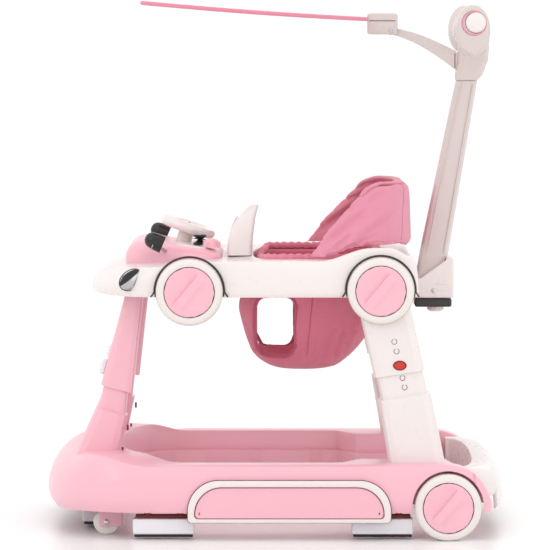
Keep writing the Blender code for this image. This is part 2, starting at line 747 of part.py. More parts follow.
def rear_boot_edges(z):
    """The boot widens downwards from just outside the lowered sleeve's foot."""
    top = REAR_FOOT - DROP - 0.001
    front, back = rear_edges(z)
    fall = top - z
    return front - 0.001 - 0.06 * fall, back + 0.001 - 0.02 * fall


def rear_boot_rings(y, grow=0.0):
    half = REAR_LEG_THICKNESS / 2 + BOOT_GROWTH / 2
    top = REAR_FOOT - DROP - 0.001
    foot = BASE_RIM - LEG_SINK
    rings = []
    for share in (1.0, 0.0):
        z = top - (top - foot) * share
        rings.append(leg_ring(rear_boot_edges, z, y, half, grow, REAR_SLOPE * (1 - share), 0.014))
    return rings


def rear_tube_edges(z):
    front, back = rear_edges(z)
    return front + WALL + RUN, back - WALL - RUN


def rear_legs(shell):
    """Boots let into the base's wide rear sides, with the tubes that the rear sleeves slide on."""
    for side, sign in SIDES:
        y = rear_leg_y(sign)
        rings = rear_boot_rings(y)
        top = REAR_FOOT - DROP - 0.001
        head = min(REAR_FOOT + 0.075, DECK_HEIGHT - DROP - 0.009)
        half = REAR_LEG_THICKNESS / 2 - WALL - RUN
        for z, slope in ((top + 0.0005, REAR_SLOPE), (head, 0.0)):
            rings.append(leg_ring(rear_tube_edges, z, y, half, 0.0, slope, 0.010))
        make("rear_leg_" + side, loft(rings), "white_plastic")
        with_well(shell, "rear_leg_well_" + side, rear_boot_rings(y, FIT))


def rear_sleeves():
    """Sleeves that slide down the rear legs while the deck rides on their closed tops."""
    head = DECK_HEIGHT - 0.0005
    half = REAR_LEG_THICKNESS / 2
    for side, sign in SIDES:
        y = rear_leg_y(sign)
        face = y + sign * half
        rings = [leg_ring(rear_edges, REAR_FOOT, y, half, 0.0, REAR_SLOPE, 0.012)]
        rings.append(leg_ring(rear_edges, head, y, half, 0.0, 0.0, 0.012))
        sleeve = make("rear_sleeve_" + side, loft(rings), "white_plastic")
        cavity = [leg_ring(rear_edges, z, y, half, -WALL, 0.0, 0.010)
                  for z in (REAR_FOOT - 0.03, head - 0.005)]
        boolean(sleeve, helper("rear_sleeve_bore_" + side, loft(cavity)))
        pin_x, pin_z = sum(rear_edges(REAR_FOOT)) / 2, REAR_FOOT + 0.014

        def pin_rings(grow, inner, outer):
            made = []
            for depth in (inner, outer):
                ring = []
                for k in range(20):
                    angle = 2 * pi * k / 20
                    x = pin_x + (PIN_SIZE[0] / 2 + grow) * cos(angle)
                    z = pin_z + (PIN_SIZE[1] / 2 + grow) * sin(angle)
                    ring.append((x, face + sign * depth, z))
                made.append(ring)
            return made

        pin = loft(pin_rings(0, -WALL + PIN_TRAVEL, PIN_PROUD))
        make("lock_pin_" + side, pin, "red_plastic", (pin_x, face, pin_z))
        boolean(sleeve, helper("pin_hole_" + side, loft(pin_rings(FIT, -0.007, 0.005))))


# ---------------------------------------------------------------- deck

def deck_crest(x):
    """The deck's top: low at the bonnet, raised over the rear discs."""
    bonnet = 0.0095 * (1 - smooth_step(x, DECK_NOSE + 0.07, DECK_NOSE + 0.19))
    swell = smooth_step(x, TAIL - 0.300, TAIL - 0.206)
    fall = 0.8 * smooth_step(x, TAIL - 0.175, TAIL - 0.135)
    return DECK_TOP - bonnet + ARCH_RISE * swell * (1 - fall)


def seat_hole(grow):
    """Half the outline of the seat hole, nose to tail, as front, sides and back."""
    return NOSE + SEAT_FRONT - grow, TAIL - SEAT_BACK + grow, SEAT_HALF + grow


def deck_shell():
    front, back, half = seat_hole(0)
    outer = nose_arc(DECK_NOSE, DECK_HALF, 0.140, 2.6, 7)
    inner = nose_arc(front, half, 0.030, 2.6, 7)
    crowns = [0.075 - 0.063 * smooth_step(y / DECK_HALF, 0.72, 1.0) for _, y in outer]
    start, end = outer[-1][0], DECK_END - 0.025
    inner_start, inner_end = front + 0.030, back - 0.030
    for share in (0.3, 0.55, 0.65, 0.75, 0.88, 1.0):
        outer.append((start + (end - start) * share, DECK_HALF))
        inner.append((inner_start + (inner_end - inner_start) * share, half))
        crowns.append(0.012)
    outer += corner_arc(DECK_END, DECK_HALF, 0.025, 4) + [(DECK_END, 0)]
    inner += corner_arc(back, half, 0.030, 4) + [(back, 0)]
    crowns += [0.012] * 5
    sections = []
    for (ox, oy), (ix, iy), crown in zip(outer, inner, crowns):
        heights = (DECK_HEIGHT, DECK_HEIGHT + 0.008, deck_crest(ox), DECK_TOP, DECK_HEIGHT + 0.014)
        sections.append(shell_section((ox, oy), (ix, iy), crown, 0.004, heights, WALL))
    return make("deck_shell", loft(both_sides(sections), closed=True), "white_plastic")


def hood_rings(grow=0.0):
    x0 = NOSE + HOOD_NOSE_GAP
    x1 = x0 + HOOD_LENGTH
    half = HOOD_HALF
    low = DECK_TOP - 0.022
    rings = [level_ring(x0 - grow, x1 + grow, -half - grow, half + grow, 0.030, z)
             for z in (low, DECK_TOP - 0.002)]
    for inset, rise, slope in ((0.006, 0.55, 0.7), (0.020, 0.9, 0.95), (0.034, 1.0, 1.0)):
        z = DECK_TOP + (HOOD_HEIGHT - 0.008) * rise
        rings.append(level_ring(x0 + inset + grow, x1 - inset * 0.3, -half + inset, half - inset, 0.025, z,
                                -HOOD_TILT * slope))
    return rings


def hood_surface(x):
    """Height of the play tray's top face."""
    x0 = NOSE + HOOD_NOSE_GAP
    inset = 0.034
    middle = (x0 + inset + x0 + HOOD_LENGTH - inset * 0.3) / 2
    return DECK_TOP + HOOD_HEIGHT - 0.008 - HOOD_TILT * (x - middle)


def steering_axis():
    return Vector((sin(STEERING_TILT), 0, cos(STEERING_TILT)))


def steering_centre():
    return Vector((NOSE + STEERING_PLACE[0], 0, DECK_HEIGHT + STEERING_PLACE[1]))


def deck_hood(deck):
    """The pink play tray, let into the bonnet."""
    hood = make("deck_hood", loft(hood_rings()), "pink_plastic")
    well = hood_rings(FIT)
    well = [[(x, y, z - 0.01) for x, y, z in well[0]]] + [[(x, y, z + 0.05) for x, y, z in well[1]]]
    boolean(deck, helper("hood_well", loft(well)))
    centre, axis = steering_centre(), steering_axis()
    well = cylinder(COLUMN_DIAMETER / 2 + FIT, centre - axis * 0.040, centre, 20)
    boolean(hood, helper("column_well", well))
    for number, (x, y) in enumerate(toy_places()):
        z = hood_surface(x)
        spindle = cylinder(0.003 + FIT, (x, y, z - 0.010), (x, y, z + 0.02), 12)
        boolean(hood, helper(f"toy_hole_{number}", spindle))


def toy_places():
    """Places of the roller and the knob on the play tray."""
    return (NOSE + 0.243, -0.060), (NOSE + 0.262, -0.085)


def steering():
    centre, axis = steering_centre(), steering_axis()
    radius, spigot = COLUMN_DIAMETER / 2, SPIGOT_DIAMETER / 2
    hub = STEERING_RIM / 2
    profile = ((0, -0.0395), (radius, -0.0395), (radius, -hub), (spigot, -hub), (spigot, hub - 0.004),
               (0, hub - 0.004))
    make("steering_column", placed(lathe(profile, 20), centre, axis), "white_plastic", centre)
    rim = []
    tube = STEERING_RIM / 2
    for k in range(8):
        angle = 2 * pi * k / 8
        rim.append((STEERING_DIAMETER / 2 - tube + tube * cos(angle), tube * sin(angle)))
    wheel = make("steering_wheel", placed(hollow_lathe(rim, 22), centre, axis), "gloss_white", centre)
    boss = cylinder(0.016, centre - axis * (hub - RUN), centre + axis * hub, 14)
    boolean(wheel, helper("steering_boss", boss), "UNION")
    across = Vector((0, 1, 0))
    for number, turn in enumerate((0, 120, 240)):
        arm = Matrix.Rotation(radians(turn), 3, axis) @ across
        spoke = cylinder(0.006, centre + arm * 0.010, centre + arm * (STEERING_DIAMETER / 2 - tube), 8)
        boolean(wheel, helper(f"steering_spoke_{number}", spoke), "UNION")
    bore = cylinder(spigot + RUN, centre - axis * 0.03, centre + axis * (hub - 0.003), 16)
    boolean(wheel, helper("steering_bore", bore))


def toys():
    """A two-coned roller and a round knob, each turning on its own short spindle."""
    (roller_x, roller_y), (knob_x, knob_y) = toy_places()
    radius, waist, height = ROLLER_DIAMETER / 2, 0.004, ROLLER_HEIGHT
    base = hood_surface(roller_x) + 0.0022
    profile = ((0, -0.009), (0.003, -0.009), (0.003, 0), (radius, 0), (radius, 0.0025), (waist, height / 2),
               (radius, height - 0.0025), (radius, height), (0, height))
    make("toy_roller", placed(lathe(profile, 20), (roller_x, roller_y, base)), "black_plastic",
         (roller_x, roller_y, base))
    radius = KNOB_DIAMETER / 2
    base = hood_surface(knob_x) + 0.0024
    place = (knob_x, knob_y, base)
    profile = ((0, -0.009), (0.003, -0.009), (0.003, 0), (radius - 0.002, 0), (radius, 0.002),
               (radius, 0.010), (radius - 0.003, 0.013), (0, 0.014))
    make("toy_knob", placed(lathe(profile, 20), place), "pink_plastic", place)


def mirrors():
    """Bullet-shaped mirrors, whose stalks turn in the sides of the play tray."""
    radius = MIRROR_DIAMETER / 2
    for side, sign in SIDES:
        root = Vector((NOSE + 0.190, sign * (HOOD_HALF - MIRROR_ROOT), DECK_TOP + 0.010))
        cup = Vector((NOSE + 0.171, sign * (HOOD_HALF + 0.028), DECK_TOP + 0.028))
        profile = ((0, -0.013), (radius * 0.6, -0.010), (radius * 0.92, 0.000), (radius, 0.016),
                   (radius * 0.9, 0.017), (0, 0.015))
        facing = Vector((0.80, 0, -0.35))
        mirror = make("mirror_" + side, placed(lathe(profile, 20), cup, facing), "black_plastic", root)
        stalk = cylinder(0.0025, root, cup, 10)
        boolean(mirror, helper("mirror_stalk_" + side, stalk), "UNION")


def lamp(size, grow):
    bm = bmesh.new()
    bmesh.ops.create_uvsphere(bm, u_segments=16, v_segments=6, radius=1)
    bmesh.ops.scale(bm, vec=[side / 2 + grow for side in size], verts=bm.verts)
    return bm


def headlights(deck):
    """Oval lamps let into the corners of the bonnet."""
    for side, sign in SIDES:
        place = Vector((DECK_NOSE + 0.0695, sign * (DECK_HALF - 0.0185), DECK_HEIGHT + 0.0265))
        turn = Matrix.Rotation(sign * radians(-22), 4, "Z") @ Matrix.Rotation(radians(-30), 4, "Y")
        turn = turn @ Matrix.Rotation(radians(90), 4, "X")
        for grow in (0, FIT):
            bm = lamp(LAMP_SIZE, grow)
            bmesh.ops.transform(bm, verts=bm.verts, matrix=Matrix.Translation(place) @ turn)
            if grow:
                boolean(deck, helper("lamp_well_" + side, bm))
            else:
                make("headlight_" + side, bm, "clear_lens")


def wheel_discs():
    """Round covers that look like road wheels, on the deck's sides."""
    radius, recess = DISC_DIAMETER / 2, DISC_RECESS / 2
    profile = ((0, 0), (radius - 0.004, 0), (radius, 0.004), (radius, 0.009),
               (radius - 0.003, DISC_DEPTH - 0.001), (recess + 0.002, DISC_DEPTH),
               (recess, DISC_DEPTH - 0.003), (recess - 0.002, DISC_DEPTH - 0.001), (0, DISC_DEPTH))
    for side, sign in SIDES:
        y = sign * (DECK_HALF + 0.0023)
        for end, x, z in (("front", NOSE + FRONT_DISC, 0.009), ("rear", TAIL - REAR_DISC, 0.011)):
            disc = placed(lathe(profile, 24), (x, y, DECK_HEIGHT + z), (0, sign, 0))
            make(f"{end}_disc_{side}", disc, "pink_plastic")


def grab_bar():
    """An upright guard between the play tray and the child, with a slot to hold it by."""
    x = NOSE + 0.2865
    low = DECK_TOP + 0.0008
    half = GRAB_WIDTH / 2
    rings = []
    for share, front, back, width in GRAB_PROFILE:
        z, reach = low + GRAB_HEIGHT * share, half * width
        rings.append(level_ring(x + front, x + back, -reach, reach, 0.005, z))
    guard = make("grab_bar", loft(rings), "gloss_white")
    reach, (bottom, top) = half * GRAB_SLOT_WIDTH, [low + GRAB_HEIGHT * share for share in GRAB_SLOT]
    slot = block((x - 0.02, -reach, bottom), (x + 0.08, reach, top), 0.008)
    boolean(guard, helper("grab_slot", slot))


# ---------------------------------------------------------------- seat

def hole_ring(front, back, half, z, inset=0.0):
    """A ring of the seat hole's shape."""
    side = nose_arc(front + inset, half - inset, 0.030, 2.6, 4)
    side += corner_arc(back - inset, half - inset, 0.030, 3)
    return [(x, y, z) for x, y in side] + [(x, -y, z) for x, y in side[:0:-1]]


def seat_sling():
    """The cloth seat: a bucket that narrows to the crotch, with a wide hole for each leg."""
    front, back, half = seat_hole(-0.0035)
    crotch = DECK_HEIGHT - SLING_DROP
    levels = (
        (DECK_TOP - 0.002, 0.0, 0.0, 1.0),
        (DECK_HEIGHT + 0.012, 0.0, 0.0, 0.99),
        (DECK_HEIGHT - 0.020, -0.027, -0.006, 0.93),
        (DECK_HEIGHT - 0.055, -0.021, -0.014, 0.84),
        (DECK_HEIGHT - 0.087, -0.011, -0.032, 0.71),
        (DECK_HEIGHT - 0.109, -0.001, -0.052, 0.59),
        (crotch + 0.005, 0.013, -0.066, 0.5),
        (crotch, 0.030, -0.080, 0.38),
    )
    outside, inside = [], []
    for z, forward, backward, share in levels:
        x0, x1, width = front + forward, back + backward, half * share
        outside.append(hole_ring(x0, x1, width, z))
        inside.append(hole_ring(x0, x1, width, z + CLOTH, CLOTH))
    inside[0] = [(x, y, z + 0.02) for x, y, z in inside[0]]
    sling = make("seat_sling", loft(outside[::-1]), "pink_cloth")
    boolean(sling, helper("sling_inside", loft(inside[::-1])))
    low = (front - 0.001, -half - 0.02, crotch + 0.024)
    high = (front + LEG_HOLE_LENGTH - 0.001, half + 0.02, DECK_HEIGHT - 0.008)
    legs = block(low, high, 0.014, 3)
    boolean(sling, helper("leg_holes", legs))


def backrest_ring(z, front, rear, half, base=False):
    """A U, open to the front, of the padded backrest at one height."""
    points = []
    for inset, order in ((0, 1), (BACKREST_PAD, -1)):
        side = []
        h, r = half - inset, rear - inset
        for k in range(-8, 9):
            angle = radians(90 * k / 8)
            x = front + (r - front) * abs(cos(angle)) ** 0.62
            y = h * (1 if k >= 0 else -1) * abs(sin(angle)) ** 0.62
            side.append((x, y))
        points += side[::order]
    if base:
        return [(x, y, deck_crest(x) + 0.004) for x, y in points]
    return [(x, y, z) for x, y in points]


def seat_backrest():
    """The padded backrest, which wraps round the child and stands on the deck."""
    half = DECK_HALF - 0.030
    front, rear = TAIL - 0.306, TAIL - 0.146
    top = DECK_HEIGHT + BACKREST_HEIGHT
    rings = [backrest_ring(0, front, rear, half, base=True)]
    low = DECK_TOP + ARCH_RISE + 0.006
    for share, forward, backward, width in BACKREST_PROFILE:
        z = low + (top - low) * share
        rings.append(backrest_ring(z, front + forward, rear + backward, half * width))
    make("seat_backrest", loft(rings), "pink_cloth")


# ---------------------------------------------------------------- parent handle

def pole_ring(z, share=0.0, grow=0.0):
    """The pole's section; share runs from its straight foot to its narrow top."""
    width = POLE_WIDTH[0] + (POLE_WIDTH[1] - POLE_WIDTH[0]) * share
    thick = POLE_THICKNESS[0] + (POLE_THICKNESS[1] - POLE_THICKNESS[0]) * share
    middle = POLE_X + POLE_WIDTH[0] / 2 + POLE_LEAN * (z - POLE_FOOT)
    half = width / 2 + grow
    return level_ring(middle - half, middle + half, -thick / 2 - grow, thick / 2 + grow, 0.012, z)


def pole_line(z):
    return POLE_X + POLE_WIDTH[0] / 2 + POLE_LEAN * (z - POLE_FOOT)


def handle_socket():
    """A cup behind the seat that the pole stands in, with a bracket and a locking knob under it."""
    low = DECK_HEIGHT - 0.016
    x0, x1 = DECK_END + 0.0012, DECK_END + 0.0012 + SOCKET_LENGTH
    half = SOCKET_WIDTH / 2
    cup = block((x0, -half, low), (x1, half, low + SOCKET_HEIGHT), 0.004)
    socket = make("handle_socket", cup, "white_plastic")
    bottom, above = POLE_FOOT - FIT, low + SOCKET_HEIGHT + 0.02
    boolean(socket, helper("pole_pocket", loft([pole_ring(bottom, 0, FIT), pole_ring(above, 0, FIT)])))
    cut = loft([[(x0 - 0.02, y, above), (x1 - 0.012, y, above), (x1 - 0.012, y, low + SOCKET_HEIGHT - 0.004),
                 (x0 + 0.010, y, POLE_FOOT + 0.006), (x0 - 0.02, y, POLE_FOOT + 0.002)]
                for y in (-0.08, 0.08)])
    boolean(socket, helper("socket_front", cut))
    bracket_top = low - FIT
    middle = x0 + SOCKET_LENGTH * 0.55
    stem = 0.004
    low, high = (x0, -BRACKET_HALF, bracket_top - BRACKET_DEPTH), (x1 - 0.003, BRACKET_HALF, bracket_top)
    bracket = make("handle_bracket", block(low, high, 0.003), "black_plastic")
    bore = cylinder(stem + RUN, (middle, 0, bracket_top - 0.03), (middle, 0, bracket_top - 0.003), 16)
    boolean(bracket, helper("knob_bore", bore))
    radius, face = HANDLE_KNOB_DIAMETER / 2, bracket_top - BRACKET_DEPTH - RUN
    profile = ((0, -0.008), (radius - 0.004, -0.0075), (radius, -0.003), (radius, 0), (stem, 0),
               (stem, 0.009), (0, 0.009))
    make("handle_knob", placed(lathe(profile, 24), (middle, 0, face)), "white_plastic", (middle, 0, face))


def handle_pole():
    top = DECK_HEIGHT + POLE_TOP
    straight = DECK_HEIGHT + 0.070
    rings = [pole_ring(POLE_FOOT), pole_ring(straight)]
    rings += [pole_ring(straight + (top - straight) * share, share) for share in (0.5, 1.0)]
    make("handle_pole", loft(rings), "white_plastic", (pole_line(POLE_FOOT), 0, POLE_FOOT))


def grip_axis():
    z = DECK_HEIGHT + GRIP_RISE
    return pole_line(z) - 0.0115, z


def handle_neck():
    """The collar at the top of the pole, with a saddle for the grip."""
    top = DECK_HEIGHT + POLE_TOP
    grip_x, grip_z = grip_axis()
    rings = []
    crest = grip_z - GRIP_HUB / 2 + 0.010
    for share, front, back in NECK_PROFILE:
        z = top + FIT + (crest - top) * share
        middle = pole_line(z)
        rings.append(level_ring(middle - front, middle + back - 0.004 * share, -0.020, 0.020, 0.010, z))
    neck = make("handle_neck", loft(rings), "white_plastic")
    saddle = cylinder(GRIP_HUB / 2 + RUN, (grip_x, -0.06, grip_z), (grip_x, 0.06, grip_z), 40)
    boolean(neck, helper("grip_saddle", saddle))


def grip_bar():
    """The grip across the top, with a flat oval head at each end and a button in each head."""
    grip_x, grip_z = grip_axis()
    half = GRIP_LENGTH / 2
    width, height = GRIP_SIZE[0] / 2, GRIP_SIZE[1] / 2
    stations = ((0.0275, GRIP_HUB / 2, GRIP_HUB / 2), (0.036, 0.021, 0.024), (0.075, 0.018, 0.021),
                (half - 0.040, 0.020, 0.026), (half - 0.026, width - 0.002, height - 0.004),
                (half - 0.006, width, height), (half, width - 0.004, height - 0.004))
    rings = []
    for y, a, b in [(-y, a, b) for y, a, b in stations[::-1]] + list(stations):
        ring = []
        for k in range(16):
            angle = 2 * pi * k / 16
            ring.append((grip_x + a * cos(angle), y, grip_z + b * sin(angle)))
        rings.append(ring)
    grip = make("grip_bar", loft(rings), "gloss_white", (grip_x, 0, grip_z))
    radius = GRIP_BUTTON / 2
    place_x, place_z = grip_x + 0.004, grip_z + 0.012
    for side, sign in SIDES:
        profile = ((0, -0.004), (radius, -0.004), (radius, 0.002), (radius - 0.002, 0.004), (0, 0.005))
        seat = (place_x, sign * half, place_z)
        button = placed(lathe(profile, 18), seat, (0, sign, 0))
        make("grip_button_" + side, button, "white_plastic", seat)
        floor, mouth = sign * (half - 0.0085), sign * (half + 0.02)
        well = cylinder(radius + RUN, (place_x, floor, place_z), (place_x, mouth, place_z))
        boolean(grip, helper("grip_button_well_" + side, well))


# ---------------------------------------------------------------- canopy

def canopy_joint():
    """The rivet that the canopy's clamp turns on."""
    grip_x, grip_z = grip_axis()
    return grip_x - ARM_REACH, grip_z - 0.0005


def canopy_arm():
    """A flat curved arm from the neck to the clamp."""
    pivot_x, pivot_z = canopy_joint()
    top = DECK_HEIGHT + POLE_TOP
    root_z = top + 0.028
    root_x = pole_line(root_z) - 0.021 - 0.0016
    half = ARM_WIDTH / 2
    rings = []
    steps = 6
    for k in range(steps + 1):
        share = k / steps
        x = pivot_x - 0.002 + (root_x - pivot_x + 0.002) * share
        bend = smooth_step(share, -0.35, 1.35)
        middle = pivot_z + (root_z - pivot_z) * (0.35 * share + 0.65 * bend * share)
        thick = 0.0055 + 0.0095 * share ** 1.4
        rings.append([(x, -half, middle + thick), (x, half, middle + thick), (x, half, middle - thick),
                      (x, -half, middle - thick)])
    arm = make("canopy_arm", loft(rings), "white_plastic")
    eye = cylinder(0.0075, (pivot_x, -half, pivot_z), (pivot_x, half, pivot_z), 24)
    boolean(arm, helper("arm_eye", eye), "UNION")
    hole = cylinder(RIVET_DIAMETER / 2 + RUN, (pivot_x, -0.03, pivot_z), (pivot_x, 0.03, pivot_z), 16)
    boolean(arm, helper("rivet_hole", hole))


def canopy_clamp():
    pivot_x, pivot_z = canopy_joint()
    length, width, height = CLAMP_SIZE
    back = pivot_x + 0.011
    low = (back - length, -width / 2, pivot_z + CLAMP_RISE - height / 2)
    high = (back, width / 2, pivot_z + CLAMP_RISE + height / 2)
    origin = (pivot_x, 0, pivot_z)
    clamp = make("canopy_clamp", block(low, high, 0.004), "white_plastic", origin)
    half = ARM_WIDTH / 2 + RUN
    slot = block((pivot_x - 0.010, -half, low[2] - 0.01), (back + 0.02, half, high[2] + 0.01))
    boolean(clamp, helper("clamp_slot", slot))
    reach = width / 2 + 0.001
    rivet = cylinder(RIVET_DIAMETER / 2, (pivot_x, -reach, pivot_z), (pivot_x, reach, pivot_z), 16)
    boolean(clamp, helper("clamp_rivet", rivet), "UNION")
    return low[0], high[2] - HOOP_DROP, origin


def canopy(edge_x, edge_z, origin):
    """A flat stretched cloth on a hoop, held at its back edge by the clamp."""
    rings = []
    steps = 12
    for k in range(steps + 1):
        share = k / steps
        x = edge_x - FIT - CANOPY_LENGTH * share
        z = edge_z + CANOPY_FALL * CANOPY_LENGTH * share - 0.003 * sin(pi * share)
        reach = abs(2 * share - 1)
        half = CANOPY_WIDTH / 2 * (1 - 0.28 * reach ** 5)
        if share < 0.5:
            half *= 0.86 + 0.28 * share
        top, bottom = z + CANOPY_THICKNESS / 2, z - CANOPY_THICKNESS / 2
        rings.append([(x, -half, top), (x, half, top), (x, half, bottom), (x, -half, bottom)])
    make("canopy", loft(rings), "canopy_cloth", origin)


# ---------------------------------------------------------------- run

for item in list(bpy.data.objects):
    bpy.data.objects.remove(item)

shell = base_shell()
shell_caster_bosses(shell)
front_legs(shell)
rear_legs(shell)
shell_arches(shell)
shell_axle_holes(shell)
rear_bumper()
side_panels()
rear_wheels()
rear_axle()
casters()
stoppers()
rear_sleeves()

deck = deck_shell()
front_sleeves()
deck_hood(deck)
steering()
toys()
mirrors()
headlights(deck)
wheel_discs()
grab_bar()
seat_sling()
seat_backrest()

handle_socket()
handle_pole()
handle_neck()
grip_bar()
canopy_arm()
canopy(*canopy_clamp())
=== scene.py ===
"""Looks of a car-style baby walker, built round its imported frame: moulded pink and white plastic,
a padded cloth seat, a push handle and a small stretched canopy. +Z is up and the nose points to -X.
"""

from math import cos, hypot, pi, radians, sin, sqrt

import bmesh
import bpy
from mathutils import Matrix, Vector, noise
from mathutils.bvhtree import BVHTree
from mathutils.kdtree import KDTree


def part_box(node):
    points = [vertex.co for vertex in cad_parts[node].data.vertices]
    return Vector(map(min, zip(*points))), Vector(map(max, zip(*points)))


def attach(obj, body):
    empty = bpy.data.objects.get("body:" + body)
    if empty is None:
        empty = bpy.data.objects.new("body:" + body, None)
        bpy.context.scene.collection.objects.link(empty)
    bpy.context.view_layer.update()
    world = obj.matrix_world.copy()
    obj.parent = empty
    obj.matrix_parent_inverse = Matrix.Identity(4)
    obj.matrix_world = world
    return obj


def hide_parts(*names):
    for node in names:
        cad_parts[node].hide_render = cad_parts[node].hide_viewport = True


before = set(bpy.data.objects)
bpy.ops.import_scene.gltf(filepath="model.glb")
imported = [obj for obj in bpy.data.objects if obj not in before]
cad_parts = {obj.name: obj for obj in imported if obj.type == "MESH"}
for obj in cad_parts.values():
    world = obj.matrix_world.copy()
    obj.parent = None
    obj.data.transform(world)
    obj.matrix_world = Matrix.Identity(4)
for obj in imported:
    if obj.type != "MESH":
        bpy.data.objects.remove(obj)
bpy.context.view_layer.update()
link = bpy.context.collection.objects.link
SIDES = (("left", -1), ("right", 1))


# ------------------------------------------------------------------ studio
# A plain pale floor under one broad overhead softbox, a front key and a low fill, seen from the
# walker's left with a long lens a little above the seat.

camera = bpy.data.objects.new("camera", bpy.data.cameras.new("camera"))
camera.data.lens = 253.6
camera.data.sensor_width = 36
camera.data.clip_end = 60
camera.location = (0, -6.2, 0.798)
camera.rotation_euler = (Vector((0, 0, 0.390)) - camera.location).to_track_quat("-Z", "Y").to_euler()
link(camera)
bpy.context.scene.camera = camera
bpy.context.scene.view_settings.view_transform = "Standard"


def put(tree, kind, inputs=None, **settings):
    """A node with its settings and inputs; an input that is a socket is linked."""
    made = tree.nodes.new(kind)
    for key, value in settings.items():
        setattr(made, key, value)
    for key, value in (inputs or {}).items():
        if isinstance(value, bpy.types.NodeSocket):
            tree.links.new(value, made.inputs[key])
        else:
            made.inputs[key].default_value = value
    return made


def linear(red, green, blue):
    """A shader colour from the 0 to 255 values of a paint chart."""
    shares = [value / 255 for value in (red, green, blue)]
    return tuple(c / 12.92 if c <= 0.04045 else ((c + 0.055) / 1.055) ** 2.4 for c in shares) + (1.0,)


def mottle(tree, place, scale, detail=2.0):
    """Soft noise at a place, as a value from 0 to 1."""
    return put(tree, "ShaderNodeTexNoise", {"Vector": place, "Scale": scale, "Detail": detail}).outputs["Fac"]


def ranged(tree, value, start, end, low=0.0, high=1.0):
    """A value between low and high, carried to the range from start to end."""
    spans = {"Value": value, "From Min": low, "From Max": high, "To Min": start, "To Max": end}
    return put(tree, "ShaderNodeMapRange", spans).outputs["Result"]


def plain(name, colour, scale, detail, smoothest, roughest, metallic=0.0, stretch=None):
    """One colour all over, with a roughness that wanders a little."""
    material = bpy.data.materials.new(name)
    material.use_nodes = True
    tree = material.node_tree
    place = put(tree, "ShaderNodeTexCoord").outputs["Object"]
    if stretch:
        place = put(tree, "ShaderNodeMapping", {"Vector": place, "Scale": stretch}).outputs["Vector"]
    shader = tree.nodes["Principled BSDF"]
    shader.inputs["Base Color"].default_value = colour
    shader.inputs["Metallic"].default_value = metallic
    rough = ranged(tree, mottle(tree, place, scale, detail), smoothest, roughest)
    tree.links.new(rough, shader.inputs["Roughness"])
    return material


floor_mesh = bmesh.new()
bmesh.ops.create_grid(floor_mesh, x_segments=4, y_segments=4, size=40)
floor = bpy.data.objects.new("floor", bpy.data.meshes.new("floor"))
floor_mesh.to_mesh(floor.data)
floor_mesh.free()
link(floor)
floor.data.materials.append(plain("floor_paint", (0.96, 0.96, 0.96, 1), 3.0, 2.0, 0.30, 0.36))

world = bpy.data.worlds.new("studio")
world.use_nodes = True
world.node_tree.nodes["Background"].inputs["Color"].default_value = (1, 1, 1, 1)
world.node_tree.nodes["Background"].inputs["Strength"].default_value = 1.06
bpy.context.scene.world = world

LAMPS = (("overhead", (-0.6, -0.4, 3.2), 3.0, 10), ("key", (-2.6, -3.0, 2.4), 1.6, 12),
         ("fill", (2.6, -2.6, 0.9), 1.8, 6), ("back", (1.5, 3.2, 2.2), 2.0, 10))
for label, place, size, power in LAMPS:
    lamp = bpy.data.objects.new(label, bpy.data.lights.new(label, "AREA"))
    lamp.data.energy = power
    lamp.data.size = size
    lamp.location = place
    lamp.rotation_euler = (Vector((0, 0, 0.35)) - lamp.location).to_track_quat("-Z", "Y").to_euler()
    link(lamp)


# ------------------------------------------------------------------ base shell
# The base is one pink injection moulding, a ring that is open underneath, with a rolled rim, a
# ledge inside, round openings for the rear wheels and square notches where the stoppers clip in.

def shader_group(name, **inputs):
    """A group that gives a colour, a roughness and a normal; its inputs are named with their defaults."""
    group = bpy.data.node_groups.new(name, "ShaderNodeTree")
    for label, value in inputs.items():
        kind = "NodeSocketColor" if isinstance(value, tuple) else "NodeSocketFloat"
        group.interface.new_socket(label, in_out="INPUT", socket_type=kind).default_value = value
    for label, kind in (("Colour", "Color"), ("Roughness", "Float"), ("Normal", "Vector")):
        group.interface.new_socket(label, in_out="OUTPUT", socket_type="NodeSocket" + kind)
    return group, put(group, "NodeGroupInput").outputs, put(group, "ShaderNodeTexCoord").outputs["Object"]


def mixed(tree, share, colour, other, blend="MULTIPLY"):
    """One colour mixed with another by a share from 0 to 1."""
    colours = {0: share, 6: colour, 7: other}
    return put(tree, "ShaderNodeMix", colours, data_type="RGBA", blend_type=blend).outputs[2]


def added(tree, one, other):
    return put(tree, "ShaderNodeMath", {0: one, 1: other}, operation="ADD").outputs["Value"]


moulded_skin, skin_in, skin_place = shader_group("moulded_skin", Colour=(1, 1, 1, 1), Roughness=0.3, Peel=0.1)
skin_flow = ranged(moulded_skin, mottle(moulded_skin, skin_place, 7.0, 3.0), 0.0, 0.06, 0.3, 0.7)
skin_dull = ranged(moulded_skin, mottle(moulded_skin, skin_place, 38.0, 4.0), -0.01, 0.03, 0.35, 0.75)
skin_bump = put(moulded_skin, "ShaderNodeBump", {"Height": mottle(moulded_skin, skin_place, 620.0),
                                                 "Distance": 0.0004, "Strength": skin_in["Peel"]})
put(moulded_skin, "NodeGroupOutput", {
    "Colour": mixed(moulded_skin, skin_flow, skin_in["Colour"], (0.72, 0.62, 0.62, 1)),
    "Roughness": added(moulded_skin, skin_in["Roughness"], skin_dull), "Normal": skin_bump.outputs["Normal"]})


